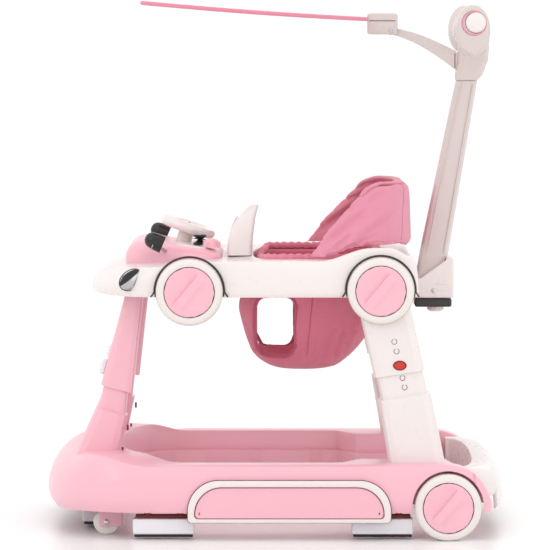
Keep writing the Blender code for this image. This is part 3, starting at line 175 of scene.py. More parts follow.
def finished(name, group, slot, skin_values, **uniform):
    """A material made by a shader group, with any more inputs of its shader set evenly."""
    material = bpy.data.materials.new(name)
    material.use_nodes = True
    tree = material.node_tree
    skin = put(tree, "ShaderNodeGroup", node_tree=group)
    for socket, value in skin_values.items():
        skin.inputs[socket].default_value = value
    shader = tree.nodes["Principled BSDF"]
    for output, socket in (("Colour", "Base Color"), ("Roughness", "Roughness"), ("Normal", "Normal")):
        tree.links.new(skin.outputs[output], shader.inputs[socket])
    for socket, value in uniform.items():
        shader.inputs[socket.replace("_", " ")].default_value = value
    return material


def moulded(name, colour, roughness, slot, peel=0.04, **uniform):
    """Moulded plastic: a faint flow in its colour, handled patches and a fine peel."""
    skin_values = {"Colour": colour, "Roughness": roughness, "Peel": peel}
    return finished(name, moulded_skin, slot, skin_values, **uniform)


pink = moulded("pink_moulding", linear(245, 186, 198), 0.30, "pink_plastic", Coat_Weight=0.15)


def smooth_step(value, low, high):
    """0 below low, 1 above high, and an even S between them."""
    share = min(max((value - low) / (high - low), 0), 1)
    return share * share * (3 - 2 * share)


def lattice(rows, around=True, closed=False, capped=False):
    """A surface through rows of matching points: a grid that is bent to them."""
    rows = [row + row[:1] if around else row for row in rows]
    rows = rows + rows[:1] if closed else rows
    bm = bmesh.new()
    bmesh.ops.create_grid(bm, x_segments=len(rows[0]) - 1, y_segments=len(rows) - 1, size=1)
    for vert, place in zip(bm.verts, [point for row in rows for point in row]):
        vert.co = place
    bmesh.ops.remove_doubles(bm, verts=bm.verts, dist=1e-6)
    if capped:
        bmesh.ops.holes_fill(bm, edges=[edge for edge in bm.edges if edge.is_boundary], sides=0)
        bmesh.ops.triangulate(bm, faces=[face for face in bm.faces if len(face.verts) > 4])
    bmesh.ops.recalc_face_normals(bm, faces=bm.faces)
    return bm


def fitted(name, bm, finish, body, *nodes, sharp=32):
    """A finished piece from a bmesh, which rides on a body and stands for CAD nodes."""
    mesh = bpy.data.meshes.new(name)
    bm.to_mesh(mesh)
    bm.free()
    piece = bpy.data.objects.new(name, mesh)
    link(piece)
    mesh.materials.append(finish)
    mesh.shade_smooth()
    mesh.set_sharp_from_angle(angle=radians(sharp))
    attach(piece, body)
    if nodes:
        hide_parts(*nodes)
    return piece


def carved(piece, cutters):
    """Cuts shapes out of a piece, and applies the cuts."""
    tools = []
    for number, bm in enumerate(cutters):
        mesh = bpy.data.meshes.new("cutter")
        bmesh.ops.recalc_face_normals(bm, faces=bm.faces)
        bm.to_mesh(mesh)
        bm.free()
        tool = bpy.data.objects.new("cutter", mesh)
        link(tool)
        tools.append(tool)
        cut = piece.modifiers.new(f"cut_{number}", "BOOLEAN")
        cut.operation = "DIFFERENCE"
        cut.solver = "EXACT"
        cut.object = tool
    evaluated = piece.evaluated_get(bpy.context.evaluated_depsgraph_get())
    cut_mesh = bpy.data.meshes.new_from_object(evaluated)
    piece.modifiers.clear()
    old = piece.data
    piece.data = cut_mesh
    cut_mesh.name = old.name
    bpy.data.meshes.remove(old)
    for tool in tools:
        bpy.data.meshes.remove(tool.data)
    cut_mesh.set_sharp_from_angle(angle=radians(32))


def rod(radius, start, end, segments=32):
    """A plain round bar between two points."""
    run = Vector(end) - Vector(start)
    turn = Vector((0, 0, 1)).rotation_difference(run).to_matrix().to_4x4()
    bm = bmesh.new()
    bmesh.ops.create_cone(bm, cap_ends=True, segments=segments, radius1=radius, radius2=radius,
                          depth=run.length)
    middle = (Vector(start) + Vector(end)) / 2
    bmesh.ops.transform(bm, verts=bm.verts, matrix=Matrix.Translation(middle) @ turn)
    return bm


def slab(low, high, rounding=0.0, segments=3):
    """A box between two corners, with its edges rounded."""
    low, high = Vector(low), Vector(high)
    bm = bmesh.new()
    bmesh.ops.create_cube(bm, size=1)
    bmesh.ops.scale(bm, vec=high - low, verts=bm.verts)
    bmesh.ops.translate(bm, vec=(low + high) / 2, verts=bm.verts)
    if rounding:
        bmesh.ops.bevel(bm, geom=bm.edges[:], offset=rounding, segments=segments, profile=0.5,
                        affect="EDGES", material=-1)
    return bm


base_low, base_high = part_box("base_shell")
bumper_low, bumper_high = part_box("rear_bumper")
NOSE, TAIL = base_low.x, bumper_high.x
HALF = base_high.y
BASE_END = base_high.x
BASE_BOTTOM, BASE_EDGE, BASE_RIM, RAIL_TOP = 0.042, 0.058, 0.115, 0.056
LEDGE_TOP, LINE_DEPTH = 0.083, 0.0022
SQUARISH = 2.6
wheel_low, wheel_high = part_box("rear_wheel_left")
WHEEL_X, WHEEL_Z = (wheel_low.x + wheel_high.x) / 2, (wheel_low.z + wheel_high.z) / 2
WHEEL_RADIUS = (wheel_high.z - wheel_low.z) / 2


def nose_arc(front, half, depth, power, steps):
    """Points from the nose to the side, on a quarter of a squarish oval."""
    quarter = [radians(90 * k / steps) for k in range(steps + 1)]
    return [(front + depth * (1 - cos(a) ** (2 / power)), half * sin(a) ** (2 / power)) for a in quarter]


def corner_arc(rear, half, radius, steps):
    """Points round the rear corner, which follow on from the side."""
    turns = [radians(90 - 90 * k / steps) for k in range(1, steps + 1)]
    return [(rear - radius + radius * cos(a), half - radius + radius * sin(a)) for a in turns]


def both_sides(sections):
    """The sections of one side, followed by their mirror images back to the start."""
    return sections + [[(x, -y, z) for x, y, z in ring] for ring in sections[1:-1]][::-1]


def shell_section(outer, inner, crown, undercut, heights, ledge=None, line=None, wall=0.003):
    """One cross-section of a ring-shaped shell, from its outer lip over the crown to its inner foot.

    line is the height of a pressed body line, with the depth that the skin steps in above it.
    """
    lip, edge, top, rim, foot = heights
    outer, inner = Vector(outer), Vector(inner)
    inward = (inner - outer).normalized()

    def at(base, distance, z):
        point = base + inward * distance
        return (point.x, point.y, z)

    bend, bend_z = undercut * 0.35, lip + (edge - lip) * 0.45
    skin = [at(outer, undercut + 0.0006, lip), at(outer, undercut, lip + 0.0008), at(outer, bend, bend_z)]
    back = [at(outer, undercut + wall - 0.0006, lip), at(outer, undercut + wall, lip + 0.0008),
            at(outer, bend + wall, bend_z)]
    for k in range(17):
        turn = radians(90 * k / 16)
        share, rise = 1 - cos(turn), sin(turn)
        z = edge + (top - edge) * rise
        pressed = line[1] * smooth_step(z, line[0] - 0.0012, line[0] + 0.0012) if line else 0
        skin.append(at(outer, crown * share + pressed * cos(turn), z - pressed * rise))
        back.append(at(outer, crown * share + wall * (1 - 0.6 * rise), z - wall * rise))
    skin += [at(inner, -0.004, rim), at(inner, -0.0012, rim - 0.0008), at(inner, 0, rim - 0.003)]
    back += [at(inner, -wall - 0.002, rim - wall), at(inner, -wall, rim - wall - 0.002),
             at(inner, -wall, rim - 0.008)]
    if ledge:
        height, width = ledge
        reach = min(width * 0.3, 0.0012)
        skin += [at(inner, 0, height + 0.001), at(inner, width - reach, height - 0.0003)]
        skin += [at(inner, width, height - 0.0018), at(inner, width, foot)]
        back += [at(inner, -wall, height - wall), at(inner, width - wall - reach, height - 0.0023 - wall)]
        back += [at(inner, width - wall, height - 0.0038 - wall), at(inner, width - wall, foot)]
    else:
        skin.append(at(inner, 0, foot))
        back.append(at(inner, -wall, foot))
    return skin + back[::-1]


def fender_height(x):
    """The rim is raised round the nose, and curves down behind each rear wheel."""
    if x <= WHEEL_X:
        return BASE_RIM + 0.013 * (1 - smooth_step(x, NOSE + 0.06, NOSE + 0.16))
    fall = sqrt(max(1 - ((x - WHEEL_X) / (BASE_END - WHEEL_X + 0.0001)) ** 2, 0))
    return max(RAIL_TOP, WHEEL_Z + (BASE_RIM - WHEEL_Z) * fall)


def inner_half_width(x):
    """The inner wall steps inwards where the base carries the rear legs."""
    start = TAIL - 0.262
    wide, legs = HALF - 0.055, HALF - 0.107
    if x < TAIL - 0.090:
        return wide - (wide - legs) * smooth_step(x, start, start + 0.035)
    return HALF - 0.048


base_sections = []
nose_inner = nose_arc(NOSE + 0.117, HALF - 0.055, 0.100, SQUARISH, 28)
for outer, inner in zip(nose_arc(NOSE, HALF, 0.165, SQUARISH, 28), nose_inner):
    reach = outer[1] / HALF
    top = fender_height(outer[0])
    lip = BASE_BOTTOM - 0.007 * (1 - smooth_step(reach, 0.5, 1.0))
    press = LINE_DEPTH * smooth_step(reach, 0.93, 0.985)
    body_line = 0.078 + 0.028 * smooth_step(outer[0], NOSE + 0.055, NOSE + 0.155)
    crown = 0.060 - 0.038 * smooth_step(reach, 0.6, 1.0)
    base_sections.append(shell_section(outer, inner, crown, 0.010, (lip, BASE_EDGE, top, top, BASE_BOTTOM),
                                       (LEDGE_TOP, 0.010), (body_line, press)))
side_start, side_end = NOSE + 0.165, BASE_END - 0.030
inner_start, meeting = NOSE + 0.217, NOSE + 0.3135
for k in range(1, 51):
    x = side_start + (side_end - side_start) * k / 50
    inner_x = max(x, inner_start + (meeting - inner_start) * (x - side_start) / (meeting - side_start))
    top = fender_height(x)
    press = LINE_DEPTH * (1 - smooth_step(x, side_start, side_start + 0.05))
    ledge_width = 0.010 - 0.0095 * smooth_step(x, TAIL - 0.098, TAIL - 0.088)
    heights = (BASE_BOTTOM, BASE_EDGE, top, top, BASE_BOTTOM)
    base_sections.append(shell_section((x, HALF), (inner_x, inner_half_width(inner_x)), 0.022, 0.005, heights,
                                       (LEDGE_TOP, ledge_width), (0.106, press)))
tail_outer = corner_arc(BASE_END, HALF, 0.030, 10) + [(BASE_END, 0)]
tail_inner = corner_arc(BASE_END - 0.025, HALF - 0.048, 0.012, 10) + [(BASE_END - 0.025, 0)]
for outer, inner in zip(tail_outer, tail_inner):
    top = fender_height(outer[0])
    heights = (BASE_BOTTOM, min(BASE_EDGE, top - 0.006), top, top, BASE_BOTTOM)
    base_sections.append(shell_section(outer, inner, 0.008, 0.002, heights,
                                       (min(LEDGE_TOP, top - 0.005), 0.0005)))
base = fitted("base_moulding", lattice(both_sides(base_sections), closed=True), pink, "base", "base_shell")
base_cuts = []
for side, sign in SIDES:
    base_cuts.append(rod(WHEEL_RADIUS + 0.0042, (WHEEL_X, sign * 0.258, WHEEL_Z),
                         (WHEEL_X, sign * 0.31, WHEEL_Z), 72))
    for x in (-0.033, 0.068):
        base_cuts.append(slab((x - 0.009, sign * 0.2220, 0.064), (x + 0.009, sign * 0.2272, 0.0845)))
carved(base, base_cuts)


# ------------------------------------------------------------------ rear bumper
# A white crescent moulding clips between the fenders and closes the tail of the base.

white = moulded("white_moulding", linear(238, 230, 227), 0.28, "white_plastic", Coat_Weight=0.15)

bumper_sections = []
bumper_start = TAIL - 0.079
for k in range(-30, 31):
    turn = radians(90 * k / 30)
    share, sign = abs(cos(turn)), (1 if k >= 0 else -1)
    side_share = abs(sin(turn))
    outer = (bumper_start + (TAIL - bumper_start) * share ** (2 / 3),
             (HALF - 0.052) * sign * side_share ** (2 / 3))
    inner = (bumper_start + (TAIL - 0.050 - bumper_start) * share ** (2 / SQUARISH),
             (HALF - 0.088) * sign * side_share ** (2 / SQUARISH))
    low_edge = RAIL_TOP - 0.020 if outer[0] > BASE_END + 0.012 else RAIL_TOP + 0.0025
    bumper_sections.append(shell_section(outer, inner, 0.030 - 0.018 * (1 - share), 0.004,
                                         (low_edge, low_edge + 0.012, 0.1055, 0.1055, RAIL_TOP + 0.006)))
fitted("bumper_moulding", lattice(bumper_sections, capped=True), white, "base", "rear_bumper")


# ------------------------------------------------------------------ side panels
# A white frame is clipped to each side with a flat pink panel inside it; thin dark red shadow
# lines run round the frame where it stands off the base.

def softened(node, finish, body, edge=0.0009, segments=2, angle=34, name=None):
    """The node's own shape with its corners rounded, as a mould leaves them."""
    bm = bmesh.new()
    bm.from_mesh(bpy.data.objects[node].data)
    bmesh.ops.remove_doubles(bm, verts=bm.verts, dist=2e-6)
    bmesh.ops.dissolve_limit(bm, angle_limit=radians(0.8), verts=bm.verts, edges=bm.edges)
    corners = [e for e in bm.edges if len(e.link_faces) == 2 and e.calc_face_angle(0) > radians(angle)]
    bmesh.ops.bevel(bm, geom=corners, offset=edge, segments=segments, profile=0.5, affect="EDGES",
                    material=-1, clamp_overlap=True)
    bmesh.ops.remove_doubles(bm, verts=bm.verts, dist=1e-6)
    piece = fitted(name or node + "_moulding", bm, finish, body, node, sharp=50)
    weighted(piece)
    return piece


def weighted(piece):
    """Shading that keeps wide faces flat and turns only over the rounded corners."""
    mesh = piece.data
    sums = [Vector() for _ in mesh.vertices]
    for face in mesh.polygons:
        for corner in face.vertices:
            sums[corner] += face.normal * face.area
    mesh.normals_split_custom_set_from_vertices([total.normalized() for total in sums])


def bent_line(name, points, radius, finish, body, closed=True, sides=8):
    """A round line along points, such as a shadow gap, a piping or an edge strip."""
    rows = []
    for k, point in enumerate(points):
        before = points[k - 1] if closed or k else point
        after = points[(k + 1) % len(points)] if closed or k < len(points) - 1 else point
        along = (after - before).normalized()
        across = along.cross(Vector((0, 1, 0)) if abs(along.y) < 0.9 else Vector((1, 0, 0))).normalized()
        up = along.cross(across)
        rows.append([tuple(point + radius * (across * cos(2 * pi * j / sides) + up * sin(2 * pi * j / sides)))
                     for j in range(sides)])
    return fitted(name, lattice(rows, closed=closed, capped=not closed), finish, body)


dark_red = moulded("shadow_red", linear(120, 22, 26), 0.45, "red_plastic")

PANEL = (NOSE + 0.228, TAIL - 0.184, 0.028, 0.093)


def panel_outline(inset, steps=12):
    """The panel's outline, drawn in by an inset, with small lower corners and large upper ones."""
    x0, x1 = PANEL[0] + inset, PANEL[1] - inset
    z0, z1 = PANEL[2] + inset * 0.6, PANEL[3] - inset
    low, high = 0.006, 0.048 - inset * 0.6
    corners = ((x1 - low, z0 + low, low, -90), (x1 - high, z1 - high, high, 0),
               (x0 + high, z1 - high, high, 90), (x0 + low, z0 + low, low, 180))
    turns = [(x, z, r, radians(first + 90 * k / steps)) for x, z, r,
             first in corners for k in range(steps + 1)]
    return [(x + r * cos(a), z + r * sin(a)) for x, z, r, a in turns]


for side, sign in SIDES:
    inner_y, face_y = sign * (HALF + 0.0008), sign * (HALF + 0.0068)
    frame_rows = [[(x, y, z) for x, z in panel_outline(inset)] for inset, y in (
        (0, inner_y), (0, face_y - sign * 0.0018), (0.0006, face_y - sign * 0.0005), (0.0020, face_y),
        (0.0082, face_y), (0.0094, face_y - sign * 0.0006), (0.0100, face_y - sign * 0.0020),
        (0.0100, inner_y))]
    fitted(f"side_frame_{side}", lattice(frame_rows, closed=True), white, "base", f"side_trim_{side}")
    plate_rows = [[(x, y, z) for x, z in panel_outline(inset)] for inset, y in (
        (0.0108, inner_y), (0.0108, face_y - sign * 0.0032), (0.0120, face_y - sign * 0.0021),
        (0.0150, face_y - sign * 0.0020), (0.0165, face_y - sign * 0.0026), (0.0180, face_y - sign * 0.0026))]
    fitted(f"side_plate_{side}", lattice(plate_rows, capped=True), pink, "base", f"side_panel_{side}")
    for label, inset in (("outer", -0.0004), ("inner", 0.0104)):
        line = [Vector((x, sign * (HALF + 0.0012 + (0.003 if label == "inner" else 0)), z))
                for x, z in panel_outline(inset)]
        bent_line(f"side_gap_{label}_{side}", line, 0.0007, dark_red, "base")


# ------------------------------------------------------------------ rear wheels
# Each rear wheel is a cream ring with a pink cap pressed into it, and the cap carries a raised
# blade across its face. The wheels turn on one plain steel rod.

cream = moulded("cream_ring", linear(236, 228, 222), 0.30, "white_plastic")
# Painted shade: a dark colour for rings, bars and lines put in grooves, slots and seams where shade falls.
gap_shade = moulded("painted_gap_shade", linear(66, 24, 30), 0.6, "black_plastic")


def turned(profile, segments=72, around=False):
    """A shape spun about Z from (radius, height) pairs, which may close on themselves."""
    bm = bmesh.new()
    points = [bm.verts.new((radius, 0, height)) for radius, height in profile]
    pairs = zip(points, points[1:] + points[:1]) if around else zip(points, points[1:])
    edges = [bm.edges.new(pair) for pair in pairs]
    bmesh.ops.spin(bm, geom=points + edges, cent=(0, 0, 0), axis=(0, 0, 1), angle=2 * pi, steps=segments,
                   use_merge=True)
    bmesh.ops.remove_doubles(bm, verts=bm.verts, dist=1e-6)
    bmesh.ops.recalc_face_normals(bm, faces=bm.faces)
    return bm


def stood(bm, place, axis):
    """Turns a shape so that its Z lies along an axis, and moves it."""
    turn = Vector((0, 0, 1)).rotation_difference(Vector(axis)).to_matrix().to_4x4()
    bmesh.ops.transform(bm, verts=bm.verts, matrix=Matrix.Translation(place) @ turn)
    return bm


# The blade's height across the cap, both as shares and metres, and the angle at which it lies.
BLADE_LEAN = radians(50)
BLADE = ((-1.0, 0.0), (-0.97, 0.0006), (-0.80, 0.0), (-0.55, -0.0012), (-0.36, -0.0018), (-0.26, -0.0010),
         (-0.18, 0.0012), (-0.12, 0.0019), (0.0, 0.0022), (0.10, 0.0026), (0.150, 0.0027), (0.166, 0.0024),
         (0.174, 0.0012), (0.180, -0.0022), (0.19, -0.0028), (0.24, -0.0027), (0.40, -0.0016), (0.62,
                                                                                                -0.0005),
         (0.80, 0.0), (0.97, 0.0006), (1.0, 0.0))


def bladed_cap(radius, depth):
    """A round cap about Z with a blade across it, square behind."""
    rows = []
    for across, height in BLADE:
        half = sqrt(max(1 - across * across, 0.0004))
        row = []
        for k in range(33):
            along = half * sin(radians(90) * (k / 16 - 1))
            rim = hypot(across, along)
            lift = height * (1 - smooth_step(abs(along + 0.02), 0.62, 0.86)) * (1 - smooth_step(rim, 0.86,
                                                                                                0.96))
            row.append((radius * along, radius * across, lift - 0.0014 * smooth_step(rim, 0.95, 1.0)))
        rows.append(row)
    bm = lattice(rows, around=False)
    rim = [edge for edge in bm.edges if edge.is_boundary]
    wall = bmesh.ops.extrude_edge_only(bm, edges=rim)["geom"]
    back = [item for item in wall if isinstance(item, bmesh.types.BMVert)]
    bmesh.ops.translate(bm, vec=(0, 0, -depth), verts=back)
    bmesh.ops.holes_fill(bm, edges=[edge for edge in bm.edges if edge.is_boundary], sides=0)
    bmesh.ops.recalc_face_normals(bm, faces=bm.faces)
    return bm


def capped_wheel(label, side, sign, place, radius, cap, depth, finish, body, *nodes):
    """The ring and the cap of a road wheel or of one of its look-alikes on the deck."""
    x, face, z = place
    ring = ((cap - 0.004, -depth), (radius - 0.005, -depth), (radius - 0.0012, -depth + 0.003),
            (radius, -depth + 0.008), (radius, -0.0075), (radius - 0.0011, -0.0036), (radius - 0.0035,
                                                                                      -0.0012),
            (radius - 0.0065, -0.0001), (cap + 0.0030, 0.0), (cap + 0.0014, -0.0006), (cap + 0.0008, -0.0020),
            (cap + 0.0008, -0.0080), (cap - 0.004, -0.0080))
    gap = ((cap - 0.001, -0.0046), (cap + 0.0010, -0.0046), (cap + 0.0010, -0.0030), (cap - 0.001, -0.0030))
    outward = (0, sign, 0)
    fitted(f"{label}_ring_{side}", stood(turned(ring, around=True), place, outward), finish, body, *nodes)
    # A dark ring of painted shade lies in the groove between the cap and the ring.
    fitted(f"{label}_gap_{side}", stood(turned(gap, around=True), place, outward), gap_shade, body)
    bm = bladed_cap(cap, 0.0085)
    rise, run = sin(BLADE_LEAN), cos(BLADE_LEAN)
    bmesh.ops.transform(bm, verts=bm.verts, matrix=Matrix(((run, -rise, 0), (0, 0, -1),
                                                           (rise, run, 0))).to_4x4())
    if sign > 0:
        bmesh.ops.scale(bm, verts=bm.verts, vec=(1, -1, 1))
        bmesh.ops.reverse_faces(bm, faces=bm.faces)
    bmesh.ops.translate(bm, verts=bm.verts, vec=(x, face + sign * 0.0004, z))
    fitted(f"{label}_cap_{side}", bm, pink, body)


CAP_RADIUS = 0.0385
for side, sign in SIDES:
    capped_wheel("rear_wheel", side, sign, (WHEEL_X, sign * (HALF + 0.010), WHEEL_Z), WHEEL_RADIUS,
                 CAP_RADIUS,
                 0.036, cream, f"rear_wheel_{side}", f"rear_wheel_{side}", f"rear_hub_cap_{side}")

steel = plain("bright_steel", (0.56, 0.57, 0.60, 1), 1.0, 2.0, 0.16, 0.36, 1.0, (900.0, 30.0, 900.0))
axle = bpy.data.objects["rear_axle"].data
axle.materials.clear()
axle.materials.append(steel)


# ------------------------------------------------------------------ casters
# Small swivelling casters carry the nose: a pink fork, a cream roller and a steel rivet.

for side, sign in SIDES:
    softened(f"caster_fork_{side}", pink, f"caster_{side}", edge=0.0012)
    low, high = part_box(f"caster_wheel_{side}")
    middle, radius, half = (low + high) / 2, (high.z - low.z) / 2, (high.y - low.y) / 2
    end = [(0.0026, half - 0.001), (radius * 0.45, half - 0.001), (radius * 0.52, half),
           (radius - 0.004, half),
           (radius - 0.0012, half - 0.0012), (radius, half - 0.004)]
    roller = [(r, -z) for r, z in end] + end[::-1]
    fitted(f"caster_roller_{side}", stood(turned(roller, 48, around=True), middle, (0, 1, 0)), cream,
           f"caster_wheel_{side}", f"caster_wheel_{side}")
    for end in (-1, 1):
        head = ((0, 0.0024), (0.002, 0.0022), (0.0040, 0.0012), (0.0045, 0.0), (0.0045, -0.001), (0, -0.001))
        rivet = stood(turned(head, 32), middle + Vector((0, end * (half + 0.0053), 0)), (0, end, 0))
        fitted(f"caster_rivet_{'near' if end < 0 else 'far'}_{side}", rivet, steel, f"caster_{side}")


# ------------------------------------------------------------------ stoppers
# White blocks under the base stop the walker on stairs. Each has a black rubber sole and hangs
# on pink stems, coloured dark red as painted shade; a thin dark red slab of painted shadow fills the gap above
# each block.

rubber = moulded("black_rubber", linear(26, 25, 27), 0.65, "black_plastic", peel=0.5)
# The stems are pink plastic; their dark red colour is painted shade.
stem_pink_painted_shade = moulded("stem_pink_painted_shade", linear(196, 84, 88), 0.4, "red_plastic")
stopper_white = moulded("stopper_white", linear(238, 236, 240), 0.35, "white_plastic")
for node in [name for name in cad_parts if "stopper" in name]:
    low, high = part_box(node)
    top = 0.037 if node == "front_stopper" else 0.032
    block = slab((low.x, low.y, low.z + 0.0042), (high.x, high.y, top), 0.0028, 4)
    sole = slab((low.x + 0.0025, low.y + 0.0018, low.z), (high.x - 0.0025, high.y - 0.0018, low.z + 0.0060),
                0.0012, 2)
    # A thin dark red slab above each block is painted shadow in the gap under the base.
    painted_shadow_gap = slab((low.x + 0.004, low.y + 0.004, top + 0.0012),
                   (high.x - 0.004, high.y - 0.004, top + 0.0052), 0.001, 2)
    fitted(node + "_block", block, stopper_white, "base", node)
    fitted(node + "_sole", sole, rubber, "base")
    if node == "front_stopper":
        ends = [(low.x + 0.018, y) for y in (-0.085, 0.085)]
    else:
        ends = [(x, (low.y + high.y) / 2) for x in (low.x + 0.022, high.x - 0.022)]
    for number, (x, y) in enumerate(ends):
        fitted(f"{node}_stem_{number}", rod(0.0052, (x, y, top - 0.002), (x, y, 0.100), 24), stem_pink_painted_shade, "base")
    fitted(node + "_carrier", painted_shadow_gap, dark_red, "base")


# ------------------------------------------------------------------ legs
# Four telescopic legs: boots let into the base, tapered tubes inside, and sleeves that slide
# down over them. The front pair is pink and fixed under the deck, the rear pair is white.

pin_red = moulded("pin_red", linear(205, 48, 40), 0.25, "red_plastic")

for side, sign in SIDES:
    softened(f"front_leg_{side}", pink, "base", edge=0.0016, segments=3, angle=20)
    softened(f"front_sleeve_{side}", pink, "deck", edge=0.0014, segments=3, angle=20)
    softened(f"rear_leg_{side}", white, "base", edge=0.0016, segments=3, angle=20)
    softened(f"rear_sleeve_{side}", white, "rear_sleeves", edge=0.0014, segments=3, angle=20)
    softened(f"release_button_{side}", stopper_white, f"release_button_{side}", edge=0.0012)

    button_low, button_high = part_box(f"release_button_{side}")
    y = (button_low.y + button_high.y) / 2
    for z in (button_low.z + 0.006, (button_low.z + button_high.z) / 2, button_high.z - 0.006):
        x = button_low.x + 0.0045 - 0.27 * (button_high.z - z)
        rib = slab((x - 0.0012, y - 0.007, z - 0.0008), (x + 0.003, y + 0.007, z + 0.0008), 0.0004, 1)
        fitted(f"button_rib_{side}_{round(z * 1000)}", rib, stopper_white, f"release_button_{side}")

    low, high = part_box(f"lock_pin_{side}")
    middle = (low + high) / 2
    face = low.y if sign < 0 else high.y
    dome = turned(((0, 0.0006), (0.35, 0.0005), (0.7, 0.0001), (0.92, -0.0006), (1.0, -0.0018),
                   (1.0, -0.0048),
                   (0, -0.0048)), 48)
    # The dark red ring sunk round each pin is painted shade in the hole that the pin stands in.
    rim = turned(((1.03, 0.0), (1.06, 0.0012), (1.12, 0.0014), (1.16, 0.0006), (1.17, -0.0004),
                  (1.03, -0.0004)), 48,
                 around=True)
    for bm, sunk in ((dome, 0), (rim, 0.003)):
        bmesh.ops.scale(bm, verts=bm.verts, vec=((high.x - low.x) / 2, (high.z - low.z) / 2, 1))
        stood(bm, (0, 0, 0), (0, sign, 0))
        bmesh.ops.translate(bm, verts=bm.verts, vec=(middle.x, face - sign * sunk, middle.z))
    fitted(f"lock_pin_dome_{side}", dome, pin_red, f"lock_pin_{side}", f"lock_pin_{side}")
    fitted(f"lock_pin_hole_shade_{side}", rim, dark_red, "rear_sleeves")

    # The height marks: short arcs pressed into the sleeve above its pin and into the tube below it, drawn as
    # thin dark red lines of painted shade.
    marks = ((0.022, 0.0030, "rear_sleeves"), (0.037, 0.0030, "rear_sleeves"), (-0.0195, 0.0065, "base"),
             (-0.034, 0.0065, "base"))
    for number, (rise, sunk, body) in enumerate(marks):
        spot = Vector((middle.x - 0.227 * rise, face - sign * sunk, middle.z + rise))
        turns = [radians(a) for a in range(20, 341, 20)]
        arc = [spot + Vector((0.0040 * sin(turn), 0, 0.0040 * cos(turn))) for turn in turns]
        bent_line(f"height_mark_{number}_{side}", arc, 0.00045, dark_red, body, closed=False, sides=6)

    # Two narrow slots in the outer face of each front boot, drawn as small dark red slabs of painted shade.
    for number, (x, y, z) in enumerate(((-0.230, 0.1773, 0.163), (-0.238, 0.1792, 0.128))):
        place, reach = Vector((x, sign * y, z)), Vector((0.0016, 0.0014, 0.0045))
        fitted(f"front_slot_{number}_{side}", slab(place - reach, place + reach, 0.0007, 2), dark_red, "base")


# ------------------------------------------------------------------ deck
# The deck is a white moulding shaped like a car body, a ring round the seat hole with a low
# bonnet and two wheel arches on each side, edged with a black strip over the look-alike wheels.

deck_low, deck_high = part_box("deck_shell")
DECK_BOTTOM, DECK_TOP = deck_low.z, deck_low.z + 0.055
DECK_NOSE, DECK_END, DECK_HALF = deck_low.x, deck_high.x, deck_high.y


def deck_crest(x):
    """The deck's top is low at the bonnet and swells over the rear wheels."""
    bonnet = 0.0095 * (1 - smooth_step(x, DECK_NOSE + 0.07, DECK_NOSE + 0.19))
    swell = smooth_step(x, TAIL - 0.300, TAIL - 0.206) * (1 - smooth_step(x, TAIL - 0.175,
                                                                          TAIL - 0.135) * 0.8)
    return DECK_TOP - bonnet + 0.021 * swell


def deck_section(outer, inner, crown):
    heights = (DECK_BOTTOM, DECK_BOTTOM + 0.008, deck_crest(outer[0]), DECK_TOP, DECK_BOTTOM + 0.014)
    return shell_section(outer, inner, crown, 0.004, heights)


hole_front, hole_back, hole_half, HOLE_CORNER = NOSE + 0.328, TAIL - 0.194, 0.165, 0.030
deck_sections = []
for outer, inner in zip(nose_arc(DECK_NOSE, DECK_HALF, 0.140, SQUARISH, 26),
                        nose_arc(hole_front, hole_half, HOLE_CORNER, SQUARISH, 26)):
    deck_sections.append(deck_section(outer, inner,
                                      0.075 - 0.060 * smooth_step(outer[1] / DECK_HALF, 0.72, 1.0)))
deck_start, deck_finish = DECK_NOSE + 0.140, DECK_END - 0.025
for k in range(1, 37):
    x = deck_start + (deck_finish - deck_start) * k / 36
    inner_x = hole_front + HOLE_CORNER + (hole_back - hole_front - 2 * HOLE_CORNER) * k / 36
    deck_sections.append(deck_section((x, DECK_HALF), (inner_x, hole_half), 0.015))
for outer, inner in zip(corner_arc(DECK_END, DECK_HALF, 0.025, 10) + [(DECK_END, 0)],
                        corner_arc(hole_back, hole_half, HOLE_CORNER, 10) + [(hole_back, 0)]):
    deck_sections.append(deck_section(outer, inner, 0.015))
deck = fitted("deck_moulding", lattice(both_sides(deck_sections), closed=True), white, "deck", "deck_shell")
tray_opening = slab((NOSE + 0.130, -0.116, DECK_TOP - 0.030), (NOSE + 0.272, 0.116, DECK_TOP + 0.02), 0.02, 4)
carved(deck, [tray_opening])

edging = moulded("black_edging", linear(52, 50, 53), 0.35, "black_plastic")
for side, sign in SIDES:
    for end in ("front", "rear"):
        low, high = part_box(f"{end}_disc_{side}")
        x, z = (low.x + high.x) / 2, (low.z + high.z) / 2
        face = low.y if sign < 0 else high.y
        capped_wheel(f"{end}_disc", side, sign, (x, face, z), 0.0515, CAP_RADIUS, 0.0138, cream, "deck",
                     f"{end}_disc_{side}")
        # The arch strip runs over the disc and turns out into a small foot at the deck's lower edge.
        reach, foot = 0.0542, z - DECK_BOTTOM
        drop = radians(90) + (foot - 0.0012) / reach
        path, lining = [], []
        for turn in [-drop + 2 * drop * k / 48 for k in range(49)]:
            flare, inner = reach + 0.006 * max(0, abs(turn) / drop - 0.93) / 0.07, reach - 0.0012
            path.append(Vector((x + flare * sin(turn), sign * (DECK_HALF + 0.0022), z + reach * cos(turn))))
            lining.append(Vector((x + inner * sin(turn), sign * (DECK_HALF + 0.0006), z + inner * cos(turn))))
        bent_line(f"{end}_arch_{side}", path, 0.0013, edging, "deck", closed=False)
        bent_line(f"{end}_arch_shadow_{side}", lining, 0.0009, gap_shade, "deck", closed=False)


# ------------------------------------------------------------------ play tray
# A pink tray let into the bonnet carries the steering wheel, a roller, a knob and two mirrors,
# and a glossy white guard with a grab slot stands between the tray and the child.

